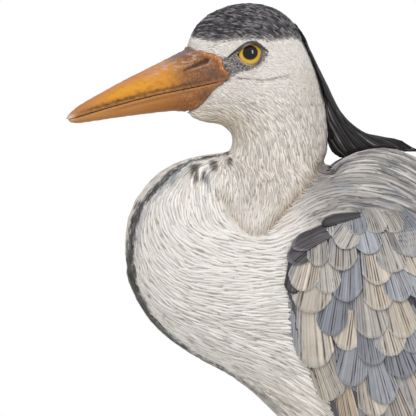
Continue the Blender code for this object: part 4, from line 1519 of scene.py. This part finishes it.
def front_feathers(over, sign):
    """The front feathers, each in its place. The lower ones reach further under those above."""
    root, tip, width, paints, level = (np.array(values) for values in zip(*FRONT_FEATHERS))
    root += (root - tip) * 0.22 * (level < 1.45)[:, None]
    root, tip = on_wing(over, sign, *root.T), on_wing(over, sign, *tip.T)
    return root, tip, width, np.full(len(width), 2.0), level, paints


wing_varnish = varnished(
    "brushed_feather_paint_satin", 0.55, coat=0.1, grain=0.5, depth=0.14, mottle=0.13
)
for side, sign in SIDES.items():
    rng = np.random.default_rng(31 + sign)
    solids = ("wing_" + side, "wing_tip_" + side)
    core_mesh = recast(gather(solids, SEAM_FILL), WING_FACE, smoothing=4)
    sink(core_mesh, SEAM_FILL + CORE_DEPTH)
    core = Surface(core_mesh, (0, sign, 0), unwrap(core_mesh))
    whole = recast(gather((*solids, "trunk", "breast"), SEAM_FILL), WING_FACE, smoothing=4)
    sink(whole, SEAM_FILL + FEATHER_DEPTH)
    over = Surface(whole, (0, sign, 0))
    feather_piece(
        "flight_feathers_" + side, "flight_plumage", core, over, long_feathers(over, sign),
        LONG_PATTERN, sign, rng, "wing_tip_" + side,
    )
    rows, front = covert_rows(core, over, sign, rng), front_feathers(over, sign)
    both = [np.concatenate([a, b]) for a, b in zip(rows, front)]
    feather_piece(
        "covert_feathers_" + side, "wing_plumage", core, over, both, COVERT_PATTERN, sign, rng
    )
    colour(core_mesh, tone("56555a"))
    place_piece("wing_core_" + side, core_mesh, wing_varnish, "wing_plumage", "wing_" + side)

# -----------------------------------------------------------------------------
# The tail: short, square and grey, six broad feathers lying close under the wing tips. They are
# carved and painted like the wings' feathers, over a core of their own.
# -----------------------------------------------------------------------------
# Each one's place across the tail, and how high it lies.
TAIL_FEATHERS = [(-16, -1.2), (16, -1.2), (-9, -0.6), (9, -0.6), (-3, -0.08), (3, -0.08)]
TAIL_REACH = (362, 436)  # the feathers' roots and tips, along the trunk
TAIL_PATTERN = (4, np.linspace(0, 1, 9), 0.2)
tail_mesh = recast(gather(("tail",)), 1.6, smoothing=3)
sink(tail_mesh, 0.8)
tail = Surface(tail_mesh, flat=unwrap(tail_mesh))
across, level = np.array(TAIL_FEATHERS, float).T
ones = np.ones(len(TAIL_FEATHERS))
root = on_back(tail, ones * TAIL_REACH[0], across * 0.8, height=30.0)
tip = on_back(tail, ones * TAIL_REACH[1], across, height=30.0)
feathers = (root, tip, ones * 13, ones * 0.9, level, ["blue_deep"] * len(TAIL_FEATHERS))
rng = np.random.default_rng(51)
feather_piece("tail_feathers", "wing_plumage", tail, tail, feathers, TAIL_PATTERN, 1, rng)
colour(tail_mesh, tone("8a8c93"))
place_piece("tail_core", tail_mesh, wing_varnish, "wing_plumage", "tail")

# -----------------------------------------------------------------------------
# The legs and feet: bare, scaled skin cast in one with the body. Broad plates run down the front
# of each leg and along each toe. They are painted ochre, with a brown wash between the plates.
# -----------------------------------------------------------------------------
PLATE_PITCH = 5.0
FOOT_HEIGHT = 16
FOOT_MIDDLES = {"left": (13.9, -27.0), "right": (29.9, 27.0)}


def leg_plates(points, normals, side):
    """How far places stand out as plates of the scaled skin: 1 on a plate, 0 between them."""
    x, y, z = points.T
    middle = FOOT_MIDDLES[side]
    net = 0.75 + 0.25 * (0.5 + 0.5 * wobble(points, 4.5))

    def plates(reach, pitch, shown):
        return np.abs(np.sin(math.pi * reach / pitch)) ** 0.4 * shown + net * (1 - shown)

    shank = plates(z + 0.6 * np.abs(y - middle[1]), PLATE_PITCH, ramp(-0.2, 0.5, -normals[:, 0]))
    out = np.hypot(x - middle[0], y - middle[1])
    toes = plates(out, PLATE_PITCH * 0.8, ramp(0.1, 0.6, normals[:, 2]))
    return np.where(z > FOOT_HEIGHT, shank, toes)


scaled_skin = varnished(
    "painted_scaled_skin_satin", 0.5, coat=0.15, grain=0.6, depth=0.12, mottle=0.12
)
for side in SIDES:
    solids = ("tibia_" + side, "tarsus_" + side, "foot_" + side)
    leg = recast(gather(solids, SEAM_FILL), 1.3, smoothing=7)
    points, normals = read(leg), read(leg, "normal")
    raised = leg_plates(points, normals, side)
    points = points + normals * (raised * 0.45 - 0.30 - SEAM_FILL)[:, None]
    points[:, 2] = np.maximum(points[:, 2], 0)
    write(leg, points)
    colour(leg, coats(
        points, "5c4630",
        ("a98d5f", ramp(0.25, 0.95, raised)),
        ("857a58", ramp(-0.4, 0.9, wobble(points, 61)) * 0.45),
    ))
    place_piece("leg_skin_" + side, leg, scaled_skin, "leg_ochre", *solids)

# -----------------------------------------------------------------------------
# The claws: small curved points of the same resin, cast with the toes. They are painted a streaked
# dark horn and given a satin varnish.
# -----------------------------------------------------------------------------


def horn_finish():
    """The claws' paint: dark brown, with paler streaks in a fine relief."""
    material, tree, shader = finish("painted_dark_horn_satin", Roughness=0.4)
    place = node(tree, "ShaderNodeTexCoord")
    grain = node(
        tree, "ShaderNodeTexNoise", [(place.outputs["Object"], "Vector")],
        Scale=1 / (1.5 * MM), Detail=3.0,
    )
    ramped = node(tree, "ShaderNodeValToRGB", [(grain.outputs["Fac"], "Fac")])
    ramped.color_ramp.elements[0].color = (*tone("2b2420"), 1)
    ramped.color_ramp.elements[1].color = (*tone("6a5a4a"), 1)
    tree.links.new(ramped.outputs["Color"], shader.inputs["Base Color"])
    bump = node(
        tree, "ShaderNodeBump", [(grain.outputs["Fac"], "Height")], Strength=0.4, Distance=0.1 * MM
    )
    tree.links.new(bump.outputs["Normal"], shader.inputs["Normal"])
    return material


dark_horn = horn_finish()
for name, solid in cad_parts.items():
    if name.startswith("claw_"):
        for slot in solid.material_slots:
            slot.material = dark_horn

# -----------------------------------------------------------------------------
# The studio: a pale floor in a white room. A large soft light stands over the bird's left, a tall
# strip in front gives the eye its glint, and a weak fill opens the shadows.
# -----------------------------------------------------------------------------
AZIMUTH = math.radians(-6)
TARGET = Vector((-0.1016, 0, 0.577))
DISTANCE = 2.5
VIEW_WIDTH = 0.2496  # in metres, at the target
SENSOR = 36
camera_data = bpy.data.cameras.new("camera")
camera_data.sensor_width = SENSOR
camera_data.lens = SENSOR * DISTANCE / VIEW_WIDTH
camera_data.clip_end = 30
camera = put("camera", camera_data)
back = Vector((math.sin(AZIMUTH), -math.cos(AZIMUTH), 0))
camera.location = TARGET + back * DISTANCE
camera.rotation_euler = (-back).to_track_quat("-Z", "Y").to_euler()
bpy.context.scene.camera = camera

floor_mesh = bmesh.new()
bmesh.ops.create_circle(floor_mesh, cap_ends=True, segments=96, radius=3.0)
floor = put("floor", poured(floor_mesh, "floor"))
card, _, _ = finish("matt_white_card", Base_Color=(*tone("f4f4f2"), 1), Roughness=0.9)
floor.data.materials.append(card)


def softbox(name, place, aim, width, height, watts, mirrored=False):
    """A soft light with square corners, turned to its aim. It shows in gloss only where
    `mirrored`."""
    light = bpy.data.lights.new(name, "AREA")
    light.shape = "RECTANGLE"
    light.size = width
    light.size_y = height
    light.energy = watts
    lamp = put(name, light)
    lamp.location = place
    lamp.rotation_euler = (Vector(aim) - Vector(place)).to_track_quat("-Z", "Y").to_euler()
    lamp.visible_glossy = mirrored


BREAST, LEFT_EYE = (-0.05, 0, 0.5), (-0.077, -0.02, 0.667)  # what the lights are turned to
softbox("key", (-0.95, -1.5, 2.1), BREAST, width=2.0, height=2.0, watts=19)
softbox("strip", (0.06, -1.5, 1.9), LEFT_EYE, width=0.26, height=0.9, watts=8, mirrored=True)
softbox("fill", (0.8, -2.2, 0.9), BREAST, width=2.2, height=2.2, watts=10)
world = bpy.data.worlds.new("studio")
bpy.context.scene.world = world
world.use_nodes = True
sky = world.node_tree
sky.nodes.clear()
path = node(sky, "ShaderNodeLightPath")
seen = node(sky, "ShaderNodeBackground", Color=(1, 1, 1, 1), Strength=1.0)
lit = node(sky, "ShaderNodeBackground", Color=(1, 1, 1, 1), Strength=0.5)
mix = node(
    sky, "ShaderNodeMixShader",
    [(path.outputs["Is Camera Ray"], 0), (lit.outputs[0], 1), (seen.outputs[0], 2)],
)
node(sky, "ShaderNodeOutputWorld", [(mix.outputs[0], "Surface")])

bpy.context.scene.view_settings.view_transform = "Standard"
